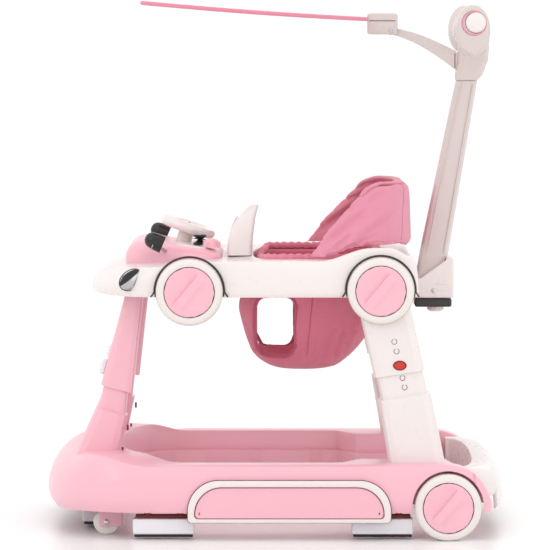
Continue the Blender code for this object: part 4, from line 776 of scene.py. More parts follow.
gloss = moulded("glossy_white", linear(240, 233, 230), 0.10, "gloss_white", peel=0.01, Coat_Weight=0.5)
black = moulded("black_moulding", linear(30, 29, 31), 0.22, "black_plastic")
tray_low, tray_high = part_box("deck_hood")


def rounded_rectangle(x0, x1, y0, y1, radius, steps=8):
    corners = ((x1 - radius, y1 - radius, 0), (x0 + radius, y1 - radius, 90),
               (x0 + radius, y0 + radius, 180), (x1 - radius, y0 + radius, 270))
    turns = [(x, y, radians(start + 90 * k / steps)) for x, y, start in corners for k in range(steps + 1)]
    return [(x + radius * cos(turn), y + radius * sin(turn)) for x, y, turn in turns]


def level_ring(x0, x1, y0, y1, radius, z, slope=0.0, steps=8):
    middle = (x0 + x1) / 2
    return [(x, y, z + slope * (x - middle)) for x, y in rounded_rectangle(x0, x1, y0, y1, radius, steps)]


TRAY_SLOPE = -0.14
tray_rows = [level_ring(tray_low.x, tray_high.x, tray_low.y, tray_high.y, 0.030, tray_low.z)]
for k in range(15):
    turn = radians(90 * k / 14)
    inset, rise = 0.034 * (1 - cos(turn)), 0.018 * sin(turn)
    tray_rows.append(level_ring(tray_low.x + inset, tray_high.x - inset * 0.3, tray_low.y + inset,
                                tray_high.y - inset, 0.030 - 0.005 * sin(turn),
                                DECK_TOP - 0.002 + (rise + 0.002 * sin(turn)), TRAY_SLOPE * sin(turn)))
tray_rows.append(level_ring(tray_low.x + 0.040, tray_high.x - 0.016, tray_low.y + 0.040, tray_high.y - 0.040,
                            0.021,
                            DECK_TOP + 0.0180, TRAY_SLOPE))
fitted("play_tray", lattice(tray_rows, capped=True), pink, "deck", "deck_hood")
panel_rows = [level_ring(tray_low.x + 0.080 + inset, tray_high.x - 0.020 - inset, -0.100 + inset,
                         0.100 - inset,
                         0.016, DECK_TOP + rise, TRAY_SLOPE)
              for inset, rise in ((0.0, 0.0130), (0.0, 0.0142), (0.0006, 0.0156), (0.0020, 0.0164))]
fitted("tray_panel", lattice(panel_rows, capped=True), white, "deck")

STEER_AXIS = Vector((0.30902, 0, 0.95106))
steer_low, steer_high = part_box("steering_wheel")
steer_centre = Vector(((steer_low.x + steer_high.x) / 2, 0, (steer_low.z + steer_high.z) / 2))
rim_turns = [2 * pi * k / 20 for k in range(20)]
rim_profile = [(0.0355 + 0.0095 * cos(t), 0.0085 * sin(t)) for t in rim_turns]
rim = turned(rim_profile, 64, around=True)
fitted("steering_rim", stood(rim, steer_centre, STEER_AXIS), gloss, "steering_wheel", "steering_wheel")
boss = turned(((0, 0.0072), (0.008, 0.0070), (0.013, 0.0058), (0.0155, 0.0036), (0.0160, 0.0),
               (0.0160, -0.0075),
               (0, -0.0075)), 48)
fitted("steering_boss", stood(boss, steer_centre, STEER_AXIS), gloss, "steering_wheel")
# The slot in the boss is a dark bar of painted shade.
slot_bar = slab((-0.0016, -0.0075, 0.0060), (0.0016, 0.0075, 0.0076), 0.0006, 2)
fitted("steering_slot", stood(slot_bar, steer_centre, STEER_AXIS), gap_shade, "steering_wheel")
for number in range(3):
    turn = radians(90 + 120 * number)
    spoke = [[(r * cos(turn) - w * sin(turn), r * sin(turn) + w * cos(turn), h) for w, h in
              ((half * cos(a), 0.0045 * sin(a)) for a in rim_turns)] for r, half in
             ((0.012, 0.010), (0.018, 0.0075), (0.024, 0.0065), (0.030, 0.0075))]
    fitted(f"steering_spoke_{number}", stood(lattice(spoke, capped=True), steer_centre, STEER_AXIS), gloss,
           "steering_wheel")
softened("steering_column", cream, "deck", edge=0.0008)

for node, finish in (("toy_roller", black), ("toy_knob", pink)):
    low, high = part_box(node)
    middle = (low + high) / 2
    radius, top = (high.x - low.x) / 2, high.z
    if node == "toy_roller":
        profile = [(0, top), (radius - 0.001, top), (radius, top - 0.001), (radius, top - 0.0025)]
        waist = [(abs(1 - k / 6) ** 1.2, k / 12) for k in range(1, 12)]
        profile += [(0.0040 + (radius - 0.004) * wide, top - 0.0025 - 0.011 * down) for wide, down in waist]
        profile += [(radius, top - 0.0135), (radius, top - 0.015), (radius - 0.001, top - 0.016),
                    (0, top - 0.016)]
    else:
        turns = [radians(90 * k / 10) for k in range(1, 11)]
        profile = [(0, top)] + [(radius * sin(turn) ** 0.6, top - 0.014 * (1 - cos(turn))) for turn in turns]
        profile.append((0, top - 0.014))
    bm = turned(profile, 48)
    bmesh.ops.translate(bm, verts=bm.verts, vec=(middle.x, middle.y, 0))
    fitted(node + "_turning", bm, finish, node, node)
spindle = rod(0.003, (-0.119, -0.060, 0.436), (-0.119, -0.060, 0.4600), 20)
fitted("roller_spindle", spindle, steel, "deck")
for number in range(6):
    turn = radians(60 * number)
    place = Vector((-0.100 + 0.0128 * cos(turn), -0.085 + 0.0128 * sin(turn), 0.4455))
    grip_rib = rod(0.0011, place + Vector((0, 0, -0.0045)), place + Vector((0, 0, 0.003)), 10)
    fitted(f"toy_knob_rib_{number}", grip_rib, pink, "toy_knob")

chrome = plain("chrome_lining", (0.48, 0.47, 0.49, 1), 90.0, 3.0, 0.06, 0.20, 1.0)

for side, sign in SIDES:
    root = Vector((NOSE + 0.190, sign * 0.1192, DECK_TOP + 0.010))
    cup = Vector((NOSE + 0.171, sign * 0.150, DECK_TOP + 0.028))
    facing = Vector((0.80, 0, -0.35)).normalized()
    shell = turned(((0, -0.0130), (0.0045, -0.0124), (0.0085, -0.0102), (0.0115, -0.0062), (0.0130, 0.0),
                    (0.0137, 0.008),
                    (0.0140, 0.0160), (0.0136, 0.0170), (0.0130, 0.0164), (0.0124, 0.0110), (0, 0.0100)), 56)
    fitted(f"mirror_cup_{side}", stood(shell, cup, facing), black, f"mirror_{side}", f"mirror_{side}")
    glass = turned(((0, 0.0118), (0.006, 0.0116), (0.0122, 0.0108), (0.0122, 0.0100), (0, 0.0100)), 48)
    fitted(f"mirror_glass_{side}", stood(glass, cup, facing), chrome, f"mirror_{side}")
    crescent = [Vector((0.0134 * cos(radians(a)), 0.0134 * sin(radians(a)), 0.003)) for a in range(-70, 71,
                                                                                                   7)]
    turn = Vector((0, 0, 1)).rotation_difference(facing).to_matrix()
    bent_line(f"mirror_trim_{side}", [cup + turn @ p for p in crescent], 0.0011, chrome, f"mirror_{side}",
              closed=False)
    stalk = [root.lerp(cup, k / 6) + Vector((0, 0, -0.002 * sin(pi * k / 6))) for k in range(6)]
    bent_line(f"mirror_stalk_{side}", stalk, 0.0026, chrome, f"mirror_{side}", closed=False, sides=16)

    lamp_low, lamp_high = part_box(f"headlight_{side}")
    place = (lamp_low + lamp_high) / 2
    turn = Matrix.Rotation(sign * radians(-22), 4, "Z") @ Matrix.Rotation(radians(-30), 4, "Y") @ \
        Matrix.Rotation(radians(90), 4, "X")
    bm = bmesh.new()
    bmesh.ops.create_uvsphere(bm, u_segments=48, v_segments=24, radius=1)
    bmesh.ops.scale(bm, vec=(0.0215, 0.0155, 0.0080), verts=bm.verts)
    bmesh.ops.transform(bm, verts=bm.verts, matrix=Matrix.Translation(place) @ turn)
    fitted(f"lamp_bowl_{side}", bm, chrome, "deck", f"headlight_{side}")
    brow = [place + (turn.to_3x3() @ Vector((0.0205 * cos(radians(a)), 0.0147 * sin(radians(a)),
                                             -0.0012 * sign)))
            for a in range(0, 360, 8)]
    bent_line(f"lamp_rim_{side}", brow, 0.0012, black, "deck")
    lid = bmesh.new()
    bmesh.ops.create_uvsphere(lid, u_segments=48, v_segments=24, radius=1)
    bmesh.ops.scale(lid, vec=(0.0214, 0.0152, 0.0086), verts=lid.verts)
    bmesh.ops.bisect_plane(lid, geom=lid.verts[:] + lid.edges[:] + lid.faces[:], plane_co=(0, 0.0035, 0),
                           plane_no=(0.12, -1, 0), clear_outer=True)
    bmesh.ops.holes_fill(lid, edges=[e for e in lid.edges if e.is_boundary], sides=0)
    bmesh.ops.transform(lid, verts=lid.verts, matrix=Matrix.Translation(place) @ turn)
    fitted(f"lamp_lid_{side}", lid, black, "deck")

guard_low, guard_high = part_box("grab_bar")
# The guard's rows: the share of its height, its front and back faces, and the share of its width.
GUARD = ((0, 0.0, 0.039, 1.0), (0.12, 0.0002, 0.0395, 1.0), (0.25, 0.001, 0.040, 1.0),
         (0.38, 0.003, 0.0408, 0.99),
         (0.5, 0.006, 0.042, 0.97), (0.62, 0.0105, 0.043, 0.94), (0.72, 0.016, 0.044, 0.9), (0.82, 0.0220,
                                                                                             0.0455, 0.85),
         (0.9, 0.028, 0.0475, 0.80), (0.96, 0.0335, 0.0490, 0.76), (0.99, 0.0375, 0.0492, 0.735),
         (1.0, 0.0400, 0.0480, 0.72))
guard_rows = [level_ring(guard_low.x + front, guard_low.x + back, -0.090 * width, 0.090 * width,
                         min(0.007, (back - front) * 0.42), guard_low.z + 0.079 * share)
              for share, front, back, width in GUARD]
guard = fitted("grab_guard", lattice(guard_rows, capped=True), gloss, "deck", "grab_bar")
grab_slot = slab((guard_low.x - 0.02, -0.0495, guard_low.z + 0.0237),
                 (guard_low.x + 0.08, 0.0495, guard_low.z + 0.0569), 0.010, 5)
carved(guard, [grab_slot])


# ------------------------------------------------------------------ seat
# A cloth bucket hangs in the deck's hole, cut away for the legs and bound round each opening. Its
# gathered edge rolls over the hole, and a padded backrest wraps round the child above it.

woven_cloth, woven_in, weave_place = shader_group("woven_cloth", Colour=(1, 1, 1, 1), Weave=0.5)
threads = [put(woven_cloth, "ShaderNodeTexWave", {"Vector": weave_place, "Scale": 250.0, "Distortion": 0.8,
                                                  "Detail": 1.0, "Detail Scale": 0.4},
               bands_direction=axis).outputs["Fac"] for axis in "XYZ"]
weave = added(woven_cloth, added(woven_cloth, threads[0], threads[1]), threads[2])
# Painted shade: the colour is darkened where the weave dips, in the valleys between threads.
thread_valley_shade = mixed(woven_cloth, ranged(woven_cloth, weave, 0.16, 0.0, 0.3, 2.4), woven_in["Colour"],
                        (0.45, 0.12, 0.18, 1), blend="MIX")
dye = mottle(woven_cloth, weave_place, 16.0, 3.0)
dye_shade = ranged(woven_cloth, dye, 0.0, 0.16, 0.3, 0.7)
crumple = put(woven_cloth, "ShaderNodeBump", {"Height": mottle(woven_cloth, weave_place, 75.0, 3.0),
                                              "Distance": 0.0015, "Strength": 0.30})
weave_bump = put(woven_cloth, "ShaderNodeBump", {"Height": weave, "Distance": 0.0003,
                                                 "Strength": woven_in["Weave"],
                                                 "Normal": crumple.outputs["Normal"]})
put(woven_cloth, "NodeGroupOutput", {
    "Colour": mixed(woven_cloth, dye_shade, thread_valley_shade, (0.86, 0.70, 0.78, 1)),
    "Roughness": ranged(woven_cloth, dye, 0.70, 0.86), "Normal": weave_bump.outputs["Normal"]})


def cloth(name, colour, slot, weave=0.5):
    """Woven polyester: a fine crossed thread with painted shade in the valleys between threads, a soft crumple
    and slightly uneven dye.
    """
    skin_values = {"Colour": colour, "Weave": weave}
    return finished(name, woven_cloth, slot, skin_values, Sheen_Weight=0.25, Sheen_Roughness=0.5)


sling_cloth = cloth("sling_cloth", linear(222, 122, 144), "seat_cloth")
back_cloth = cloth("backrest_cloth", linear(234, 150, 172), "seat_cloth")
rim_cloth = cloth("ruffle_cloth", linear(236, 140, 162), "seat_cloth")
binding = cloth("binding_tape", linear(196, 88, 116), "seat_cloth", weave=0.8)
stitching = cloth("stitching", linear(222, 132, 156), "seat_cloth", weave=0.9)


def swollen(bm, voxel, limit):
    """Padded fabric: an even mesh of the shape, blown up a little by cloth simulation."""
    mesh = bpy.data.meshes.new("padding")
    bm.to_mesh(mesh)
    bm.free()
    pad = bpy.data.objects.new("padding", mesh)
    link(pad)
    remesh = pad.modifiers.new("even", "REMESH")
    remesh.mode = "VOXEL"
    remesh.voxel_size = voxel
    even = bpy.data.meshes.new_from_object(pad.evaluated_get(bpy.context.evaluated_depsgraph_get()))
    pad.modifiers.clear()
    pad.data = even
    still = [vert.co.copy() for vert in even.vertices]
    fabric = pad.modifiers.new("fabric", "CLOTH")
    fabric.settings.use_pressure = True
    fabric.settings.uniform_pressure_force = 4.0
    fabric.settings.effector_weights.gravity = 0
    fabric.settings.mass = 0.3
    for frame_number in range(1, 21):
        bpy.context.scene.frame_set(frame_number)
    blown = pad.evaluated_get(bpy.context.evaluated_depsgraph_get()).data
    moved = [vert.co.copy() for vert in blown.vertices]
    pad.modifiers.clear()
    bpy.context.scene.frame_set(1)
    for vert, start, end in zip(even.vertices, still, moved):
        step = end - start
        vert.co = start + (step * (limit / step.length) if step.length > limit else step)
    result = bmesh.new()
    result.from_mesh(even)
    bpy.data.objects.remove(pad)
    bpy.data.meshes.remove(mesh)
    bpy.data.meshes.remove(even)
    bmesh.ops.smooth_vert(result, verts=result.verts, factor=0.5, use_axis_x=True, use_axis_y=True,
                          use_axis_z=True)
    return result


def bell(distance):
    """1 at no distance, falling smoothly to nothing at about 3."""
    return 2.718 ** -(distance * distance)


def folded(bm, folds):
    """Presses folds into the sides: each runs between two (x, z) ends, with a width and a depth."""
    bm.normal_update()
    shifts = []
    for vert in bm.verts:
        place, shift = Vector((vert.co.x, vert.co.z)), 0
        for start, end, width, depth in folds:
            run = Vector(end) - Vector(start)
            share = (place - Vector(start)).dot(run) / run.length_squared
            across = (place - Vector(start)).cross(run) / run.length / width
            fade = smooth_step(share, -0.05, 0.25) * (1 - smooth_step(share, 0.7, 1.1))
            shift += depth * fade * (0.8 * bell(across - 1.3) - bell(across))
        shifts.append(vert.normal * shift * abs(vert.normal.y) ** 0.5)
    for vert, shift in zip(bm.verts, shifts):
        vert.co += shift


def sewn(bm, lines, depth=0.0018, width=0.0035):
    """Draws the padding in along lines of stitching, and gives the lines where they lie."""
    bm.normal_update()
    tree = BVHTree.FromBMesh(bm)
    points = [tree.find_nearest(point)[0] for line in lines for point in line]
    near = KDTree(len(points))
    for number, point in enumerate(points):
        near.insert(point, number)
    near.balance()
    for vert in bm.verts:
        distance = near.find(vert.co)[2] / width
        if distance < 3:
            vert.co -= vert.normal * depth * bell(distance)
    bm.normal_update()
    tree = BVHTree.FromBMesh(bm)
    laid = []
    for line in lines:
        found = [tree.find_nearest(point) for point in line]
        laid.append([place + normal * 0.0002 for place, normal, _, _ in found])
    return laid


def upholstered(name, bm, finish, body, fill, *nodes):
    """A padded piece with a smoothed surface."""
    piece = fitted(name, bm, finish, body, *nodes, sharp=180)
    smooth = piece.modifiers.new("smooth", "SUBSURF")
    smooth.levels = smooth.render_levels = 1
    return piece


def spaced(points, step):
    """A closed run of points, laid again at equal steps."""
    loop = [Vector(point) for point in points]
    loop.append(loop[0])
    reach = [0]
    for a, b in zip(loop, loop[1:]):
        reach.append(reach[-1] + (b - a).length)
    count = round(reach[-1] / step)
    laid, at = [], 0
    for k in range(count):
        target = reach[-1] * k / count
        while reach[at + 1] < target:
            at += 1
        laid.append(loop[at].lerp(loop[at + 1], (target - reach[at]) / (reach[at + 1] - reach[at])))
    return laid


def hole_ring(front, back, half, z):
    side = nose_arc(front, half, 0.030, 2.6, 12) + corner_arc(back, half, 0.030, 8)
    return [(x, y, z) for x, y in side] + [(x, -y, z) for x, y in side[:0:-1]]


def between(table, share):
    """The row of a table at a share of its length, on a smooth curve through its rows."""
    place = share * (len(table) - 1)
    k = min(int(place), len(table) - 2)
    t = place - k
    rows = [table[min(max(k + d, 0), len(table) - 1)] for d in (-1, 0, 1, 2)]
    return [0.5 * (2 * b + (c - a) * t + (2 * a - 5 * b + 4 * c - d) * t * t
                   + (3 * b - a - 3 * c + d) * t ** 3)
            for a, b, c, d in zip(*rows)]


sling_low, sling_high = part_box("seat_sling")
LIP = DECK_BOTTOM + 0.012
# The bucket's rows: the height, how far the front and back walls are moved, and the share of its width.
SLING = ((DECK_TOP, 0.0, 0.0, 0.99), (LIP, -0.001, 0.0, 0.985), (DECK_BOTTOM - 0.020, -0.025, -0.006, 0.93),
         (DECK_BOTTOM - 0.055, -0.020, -0.014, 0.84), (DECK_BOTTOM - 0.087, -0.010, -0.032, 0.71),
         (DECK_BOTTOM - 0.109, 0.000, -0.052, 0.59), (sling_low.z + 0.007, 0.013, -0.066, 0.50),
         (sling_low.z + 0.002, 0.030, -0.080, 0.38))
sling_front, sling_back, sling_half = hole_front + 0.0045, hole_back - 0.0045, sling_high.y - 0.0012
WADDING = 0.0046
rows, lining_rows = [], []
for k in range(29):
    z, forward, backward, width = between(SLING, k / 28)
    front, back, half = sling_front + forward, sling_back + backward, sling_half * width
    rows.append(hole_ring(front, back, half, z))
    lining_rows.append(hole_ring(front + WADDING, back - WADDING, half - WADDING,
                                 z + WADDING * smooth_step(k, 20, 28)))
bottom = hole_ring(sling_front + 0.036, sling_back - 0.086, 0.045, sling_low.z + 0.001)
pouch = lattice(rows + [bottom], capped=True)
pouch_form = bpy.data.objects.new("pouch_form", bpy.data.meshes.new("pouch_form"))
pouch.to_mesh(pouch_form.data)
pouch.free()
link(pouch_form)
hollow = lattice([[(x, y, z + 0.02) for x, y, z in lining_rows[0]]] + lining_rows, capped=True)
HOLE_LEFT, HOLE_RIGHT = sling_front - 0.002, sling_front + 0.0585
HOLE_LOW, HOLE_HIGH = sling_low.z + 0.025, DECK_BOTTOM - 0.006
leg_cut = slab((HOLE_LEFT, -0.2, HOLE_LOW), (HOLE_RIGHT, 0.2, HOLE_HIGH), 0.015, 5)
carved(pouch_form, [hollow, leg_cut])
pouch = bmesh.new()
pouch.from_mesh(pouch_form.data)
bpy.data.objects.remove(pouch_form)
pouch = swollen(pouch, 0.0032, 0.003)
SLING_FOLDS = (((0.092, 0.262), (0.118, 0.330), 0.0050, 0.0052),
               ((0.076, 0.256), (0.096, 0.318), 0.0045, 0.0044),
               ((0.106, 0.268), (0.132, 0.344), 0.0042, 0.0044), ((0.058, 0.250), (0.072, 0.306), 0.0040,
                                                                  0.0018),
               ((0.034, 0.258), (0.060, 0.296), 0.0040, 0.0024), ((0.100, 0.300), (0.140, 0.318), 0.0038,
                                                                  0.0018),
               ((-0.046, 0.330), (-0.036, 0.286), 0.0035, 0.0016))
folded(pouch, SLING_FOLDS)
pouch_skin = BVHTree.FromBMesh(pouch)
side_seams = []
for side, sign in SIDES:
    rays = [Vector((0.050 + 0.009 * k / 24, sign * 0.3, 0.268 + 0.100 * k / 24)) for k in range(25)]
    side_seams.append([pouch_skin.ray_cast(ray, Vector((0, -sign, 0)))[0] for ray in rays])
laid_seams = sewn(pouch, side_seams)
pouch_skin = BVHTree.FromBMesh(pouch)
upholstered("seat_pouch", pouch, sling_cloth, "deck", 0.3, "seat_sling")
for (side, sign), seam in zip(SIDES, laid_seams):
    bent_line(f"pouch_seam_{side}", seam, 0.0007, binding, "deck", closed=False, sides=8)
    opening = rounded_rectangle(HOLE_LEFT - 0.0012, HOLE_RIGHT + 0.0012, HOLE_LOW - 0.0012,
                                HOLE_HIGH + 0.0012,
                                0.016)
    edge = []
    for place in spaced([(x, 0, z) for x, z in opening], 0.004):
        reach = sling_half * (0.60 + 3.8 * (place.z - HOLE_LOW))
        edge.append(pouch_skin.find_nearest(Vector((place.x, sign * min(reach, sling_half), place.z)))[0])
    bent_line(f"leg_binding_{side}", edge, 0.0030, binding, "deck", sides=12)

# The gathered edge: one soft roll round the hole, scalloped by its elastic.
ruffle_path = spaced(hole_ring(hole_front + 0.003, hole_back - 0.003, hole_half - 0.003, 0), 0.0028)
ROUND = [2 * pi * k / 14 for k in range(14)]
ruffle_rows = []
for number, place in enumerate(ruffle_path):
    before, after = ruffle_path[number - 1], ruffle_path[(number + 1) % len(ruffle_path)]
    outward = (after - before).cross(Vector((0, 0, 1))).normalized()
    outward = outward if outward.dot(place - Vector((0.068, 0, 0))) > 0 else -outward
    front = 1 - smooth_step(place.x, hole_front + 0.006, hole_front + 0.024)
    gather = noise.noise(Vector((number * 0.11, 3.1, 0)))
    scallop = abs(sin(number * 0.72 + 2.2 * gather))
    middle = place - outward * 0.007 * front + Vector((0, 0,
                                                       DECK_TOP + 0.0018 - 0.005 * front + 0.0012 * gather))
    width, height = 0.0050 + 0.0012 * scallop, 0.0046 + 0.0022 * scallop
    ruffle_rows.append([middle + outward * width * cos(turn) + Vector((0, 0, height * sin(turn)))
                        for turn in ROUND])
ruffle = fitted("seat_ruffle", lattice(ruffle_rows, closed=True), rim_cloth, "deck", sharp=180)

# The backrest, a padded U that stands on the deck. The table gives the share of its height, how
# far its front and back edges lean, and its width.
back_low, back_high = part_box("seat_backrest")
BACK_HALF, BACK_FRONT, BACK_REAR = back_high.y, back_low.x, back_high.x
BACK_FOOT, BACK_TOP = DECK_TOP + 0.027, back_high.z - 0.007
BACKREST = ((0.0, 0.012, -0.002, 0.97), (0.18, 0.022, -0.0025, 0.93), (0.35, 0.034, -0.003, 0.88),
            (0.53, 0.047, -0.0035, 0.82), (0.7, 0.062, -0.004, 0.76), (0.82, 0.074, -0.0052, 0.71),
            (0.92, 0.085, -0.007, 0.66), (1.0, 0.105, -0.014, 0.56))


def backrest_place(turn, share, inset):
    """A point on the backrest, turn from -90 at its left edge to 90, inset from its outer face."""
    foot = share < 0
    height, forward, backward, width = (0, -0.007, 0, 1.008) if foot else between(BACKREST, share)
    front, rear, half = BACK_FRONT + forward, BACK_REAR + backward - inset, BACK_HALF * width - inset
    x = front + (rear - front) * abs(cos(radians(turn))) ** 0.62
    y = half * (1 if turn >= 0 else -1) * abs(sin(radians(turn))) ** 0.62
    z = deck_crest(x) + 0.0005 if foot else BACK_FOOT + (BACK_TOP - BACK_FOOT) * height
    return Vector((x, y, z))


turns = [90 * k / 22 for k in range(-22, 23)]
rows = []
for share in [-1] + [k / 16 for k in range(17)]:
    rounding = 0.0020 * smooth_step(share, 0.93, 1.0)
    rows.append([backrest_place(turn, share, 0.0026 + rounding) for turn in turns] +
                [backrest_place(turn, share, 0.0098 - rounding) for turn in turns[::-1]])
shawl = swollen(lattice(rows, capped=True), 0.0042, 0.0055)
BACK_FOLDS = (((0.152, 0.512), (0.070, 0.448), 0.0050, 0.0070),
              ((0.120, 0.468), (0.088, 0.440), 0.0040, 0.0050),
              ((0.180, 0.534), (0.112, 0.498), 0.0045, 0.0052), ((0.190, 0.500), (0.120, 0.450), 0.0060,
                                                                 0.0045),
              ((0.168, 0.470), (0.098, 0.436), 0.0040, 0.0038))
folded(shawl, BACK_FOLDS)
hem = [backrest_place(turn, -1, 0) + Vector((0, 0, 0.008)) for turn in turns]
corner_seams = [[backrest_place(sign * 33, k / 20, 0) for k in range(20)] for side, sign in SIDES]
channel = [backrest_place(turn, 0.42, 0.012) for turn in turns[4:-4]]
head_channel = [backrest_place(turn, 0.74, 0.012) for turn in turns[4:-4]]
laid = sewn(shawl, [hem, channel, head_channel] + corner_seams)
upholstered("backrest_pad", shawl, back_cloth, "deck", 0.6, "seat_backrest")
for label, line in zip(("hem", "channel", "head_channel", "corner_left", "corner_right"), laid):
    bent_line(f"backrest_{label}", line, 0.0005, stitching, "deck", closed=False, sides=8)

# A loose strip folded over the top of the backrest.
strip_shares = [0.66, 0.70, 0.75, 0.80, 0.85, 0.90, 0.94, 0.97]
strip = [backrest_place(-89, share, 0.006) for share in strip_shares]
strip += [backrest_place(turn, 1.0, 0.006) for turn in turns[1:-1]]
strip += [backrest_place(89, share, 0.006) for share in strip_shares[::-1]]
strip = [place - Vector((0, 0, 0.0015)) for place in strip]
strip_rows = []
for number, place in enumerate(strip):
    before, after = strip[max(number - 1, 0)], strip[min(number + 1, len(strip) - 1)]
    along = (after - before).normalized()
    across = Vector((place.x - 0.10, place.y, 0)).normalized()
    across = (across - along * across.dot(along)).normalized()
    over = along.cross(across).normalized()
    end = min(number, len(strip) - 1 - number)
    swell = min(1, 0.35 + 0.3 * end) * (1 + 0.10 * noise.noise(place * 60))
    strip_rows.append([place + across * 0.0066 * swell * cos(turn) + over * 0.0034 * swell * sin(turn)
                       for turn in ROUND])
fold_over = fitted("backrest_fold", lattice(strip_rows, capped=True), back_cloth, "deck", sharp=180)


# ------------------------------------------------------------------ parent handle
# A white push handle for the parent: a moulded cup behind the deck, an oval pole with pressed
# ribs, a collar, and a grip with a flat oval head and a round button at each end.

softened("handle_socket", white, "deck", edge=0.0012, segments=3, angle=24)
softened("handle_bracket", edging, "deck", edge=0.0012, segments=2)
handle_white = moulded("handle_moulding", linear(216, 203, 199), 0.22, "white_plastic", Coat_Weight=0.2)
softened("handle_pole", handle_white, "handle", edge=0.0010, angle=40)
softened("handle_neck", handle_white, "handle", edge=0.0014, segments=3, angle=24)

socket_low, socket_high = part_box("handle_socket")
pole_low, pole_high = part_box("handle_pole")
POLE_LEAN, POLE_FOOT = 0.1865, pole_low.z
POLE_FRONT = pole_low.x


def pole_edge(z, share):
    """A point on the pole's middle plane, share from -1 at its front edge to 1 at its back."""
    half = 0.0225 - 0.0055 * smooth_step(z, DECK_BOTTOM + 0.070, pole_high.z)
    return POLE_FRONT + 0.0225 + POLE_LEAN * (z - POLE_FOOT) + share * half


for side, sign in SIDES:
    for number, share in enumerate((-0.50, 0.66)):
        run = []
        for k in range(25):
            z = DECK_BOTTOM + 0.056 + (pole_high.z - DECK_BOTTOM - 0.062) * k / 24
            thick = 0.0220 - 0.0040 * smooth_step(z, DECK_BOTTOM + 0.070, pole_high.z)
            run.append(Vector((pole_edge(z, share), sign * (thick - 0.0003), z)))
        bent_line(f"pole_rib_{number}_{side}", run, 0.0011, handle_white, "handle", closed=False, sides=10)
    for number, z in enumerate((socket_low.z + 0.012, socket_low.z + 0.022)):
        rib = slab((socket_high.x - 0.030, sign * (socket_high.y - 0.0004) - 0.0010, z),
                   (socket_high.x - 0.006, sign * (socket_high.y - 0.0004) + 0.0010, z + 0.003), 0.0006, 2)
        fitted(f"socket_rib_{number}_{side}", rib, white, "deck")
    head = stood(turned(((0, 0.0016), (0.0022, 0.0015), (0.0040, 0.0006), (0.0042, -0.002), (0, -0.002)), 28),
                 (socket_low.x + 0.030, sign * socket_high.y, socket_low.z + 0.012), (0, sign, 0))
    fitted(f"socket_screw_{side}", head, steel, "deck")

knob_low, knob_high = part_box("handle_knob")
knob_x = (knob_low.x + knob_high.x) / 2
knob_profile = ((0, 0.0), (0.0088, 0.0002), (0.0112, 0.0016), (0.0124, 0.0042), (0.0126, 0.0075),
                (0.0118, 0.0080),
                (0.0040, 0.0084), (0.0038, knob_high.z - knob_low.z), (0, knob_high.z - knob_low.z))
fitted("handle_knob_turning", stood(turned(knob_profile, 56), (knob_x, 0, knob_low.z), (0, 0, 1)), cream,
       "handle_knob",
       "handle_knob")
for number in range(12):
    turn = radians(30 * number)
    spot = Vector((knob_x + 0.0123 * cos(turn), 0.0123 * sin(turn), knob_low.z + 0.0028))
    fitted(f"handle_knob_rib_{number}", rod(0.0009, spot, spot + Vector((0, 0, 0.0046)), 10), cream,
           "handle_knob")

grip_low, grip_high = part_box("grip_bar")
GRIP_X, GRIP_Z, GRIP_HALF = (grip_low.x + grip_high.x) / 2, (grip_low.z + grip_high.z) / 2, grip_high.y
HEAD_WIDE, HEAD_HIGH = (grip_high.x - grip_low.x) / 2, (grip_high.z - grip_low.z) / 2
HUB = 0.025
# The grip's sections from its middle to one end: the distance out, and the half width and half height.
stations = [(0.0, HUB, HUB), (0.0270, HUB, HUB), (0.0292, HUB - 0.0012, HUB - 0.0006), (0.036, 0.0212, 0.0240),
            (0.050, 0.0190, 0.0222), (0.075, 0.0182, 0.0212)]
stations += [(GRIP_HALF - inset, wide, high) for inset, wide, high in (
    (0.050, 0.0186, 0.0232), (0.038, 0.0206, 0.0268), (0.030, 0.0236, 0.0322))]
stations += [(GRIP_HALF - inset, HEAD_WIDE - wide, HEAD_HIGH - high) for inset, wide, high in (
    (0.025, 0.0016, 0.0030), (0.021, 0.0004, 0.001), (0.016, 0, 0), (0.006, 0.0002, 0.0002),
    (0.0030, 0.0012, 0.0014), (0.0008, 0.0036, 0.0040), (0, 0.0066, 0.0076))]
rows = [[(GRIP_X + wide * cos(2 * pi * k / 64), y, GRIP_Z + high * sin(2 * pi * k / 64)) for k in range(64)]
        for y, wide, high in [(-y, a, b) for y, a, b in stations[:0:-1]] + stations]
grip = fitted("grip_moulding", lattice(rows, capped=True), handle_white, "grip", "grip_bar")
button_low, button_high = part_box("grip_button_left")
BUTTON_X, BUTTON_Z = (button_low.x + button_high.x) / 2, (button_low.z + button_high.z) / 2
recess_x, recess_z = BUTTON_X - 0.0032, BUTTON_Z - 0.0010
wells = []
for side, sign in SIDES:
    wells.append(rod(0.0198, (recess_x, sign * (GRIP_HALF - 0.0022), recess_z),
                     (recess_x, sign * (GRIP_HALF + 0.01), recess_z), 72))
    wells.append(rod(0.0168, (BUTTON_X, sign * (GRIP_HALF - 0.0085), BUTTON_Z),
                     (BUTTON_X, sign * GRIP_HALF, BUTTON_Z), 72))
carved(grip, wells)
pink_inlay = moulded("pink_inlay", linear(238, 160, 178), 0.25, "pink_plastic", Coat_Weight=0.2)
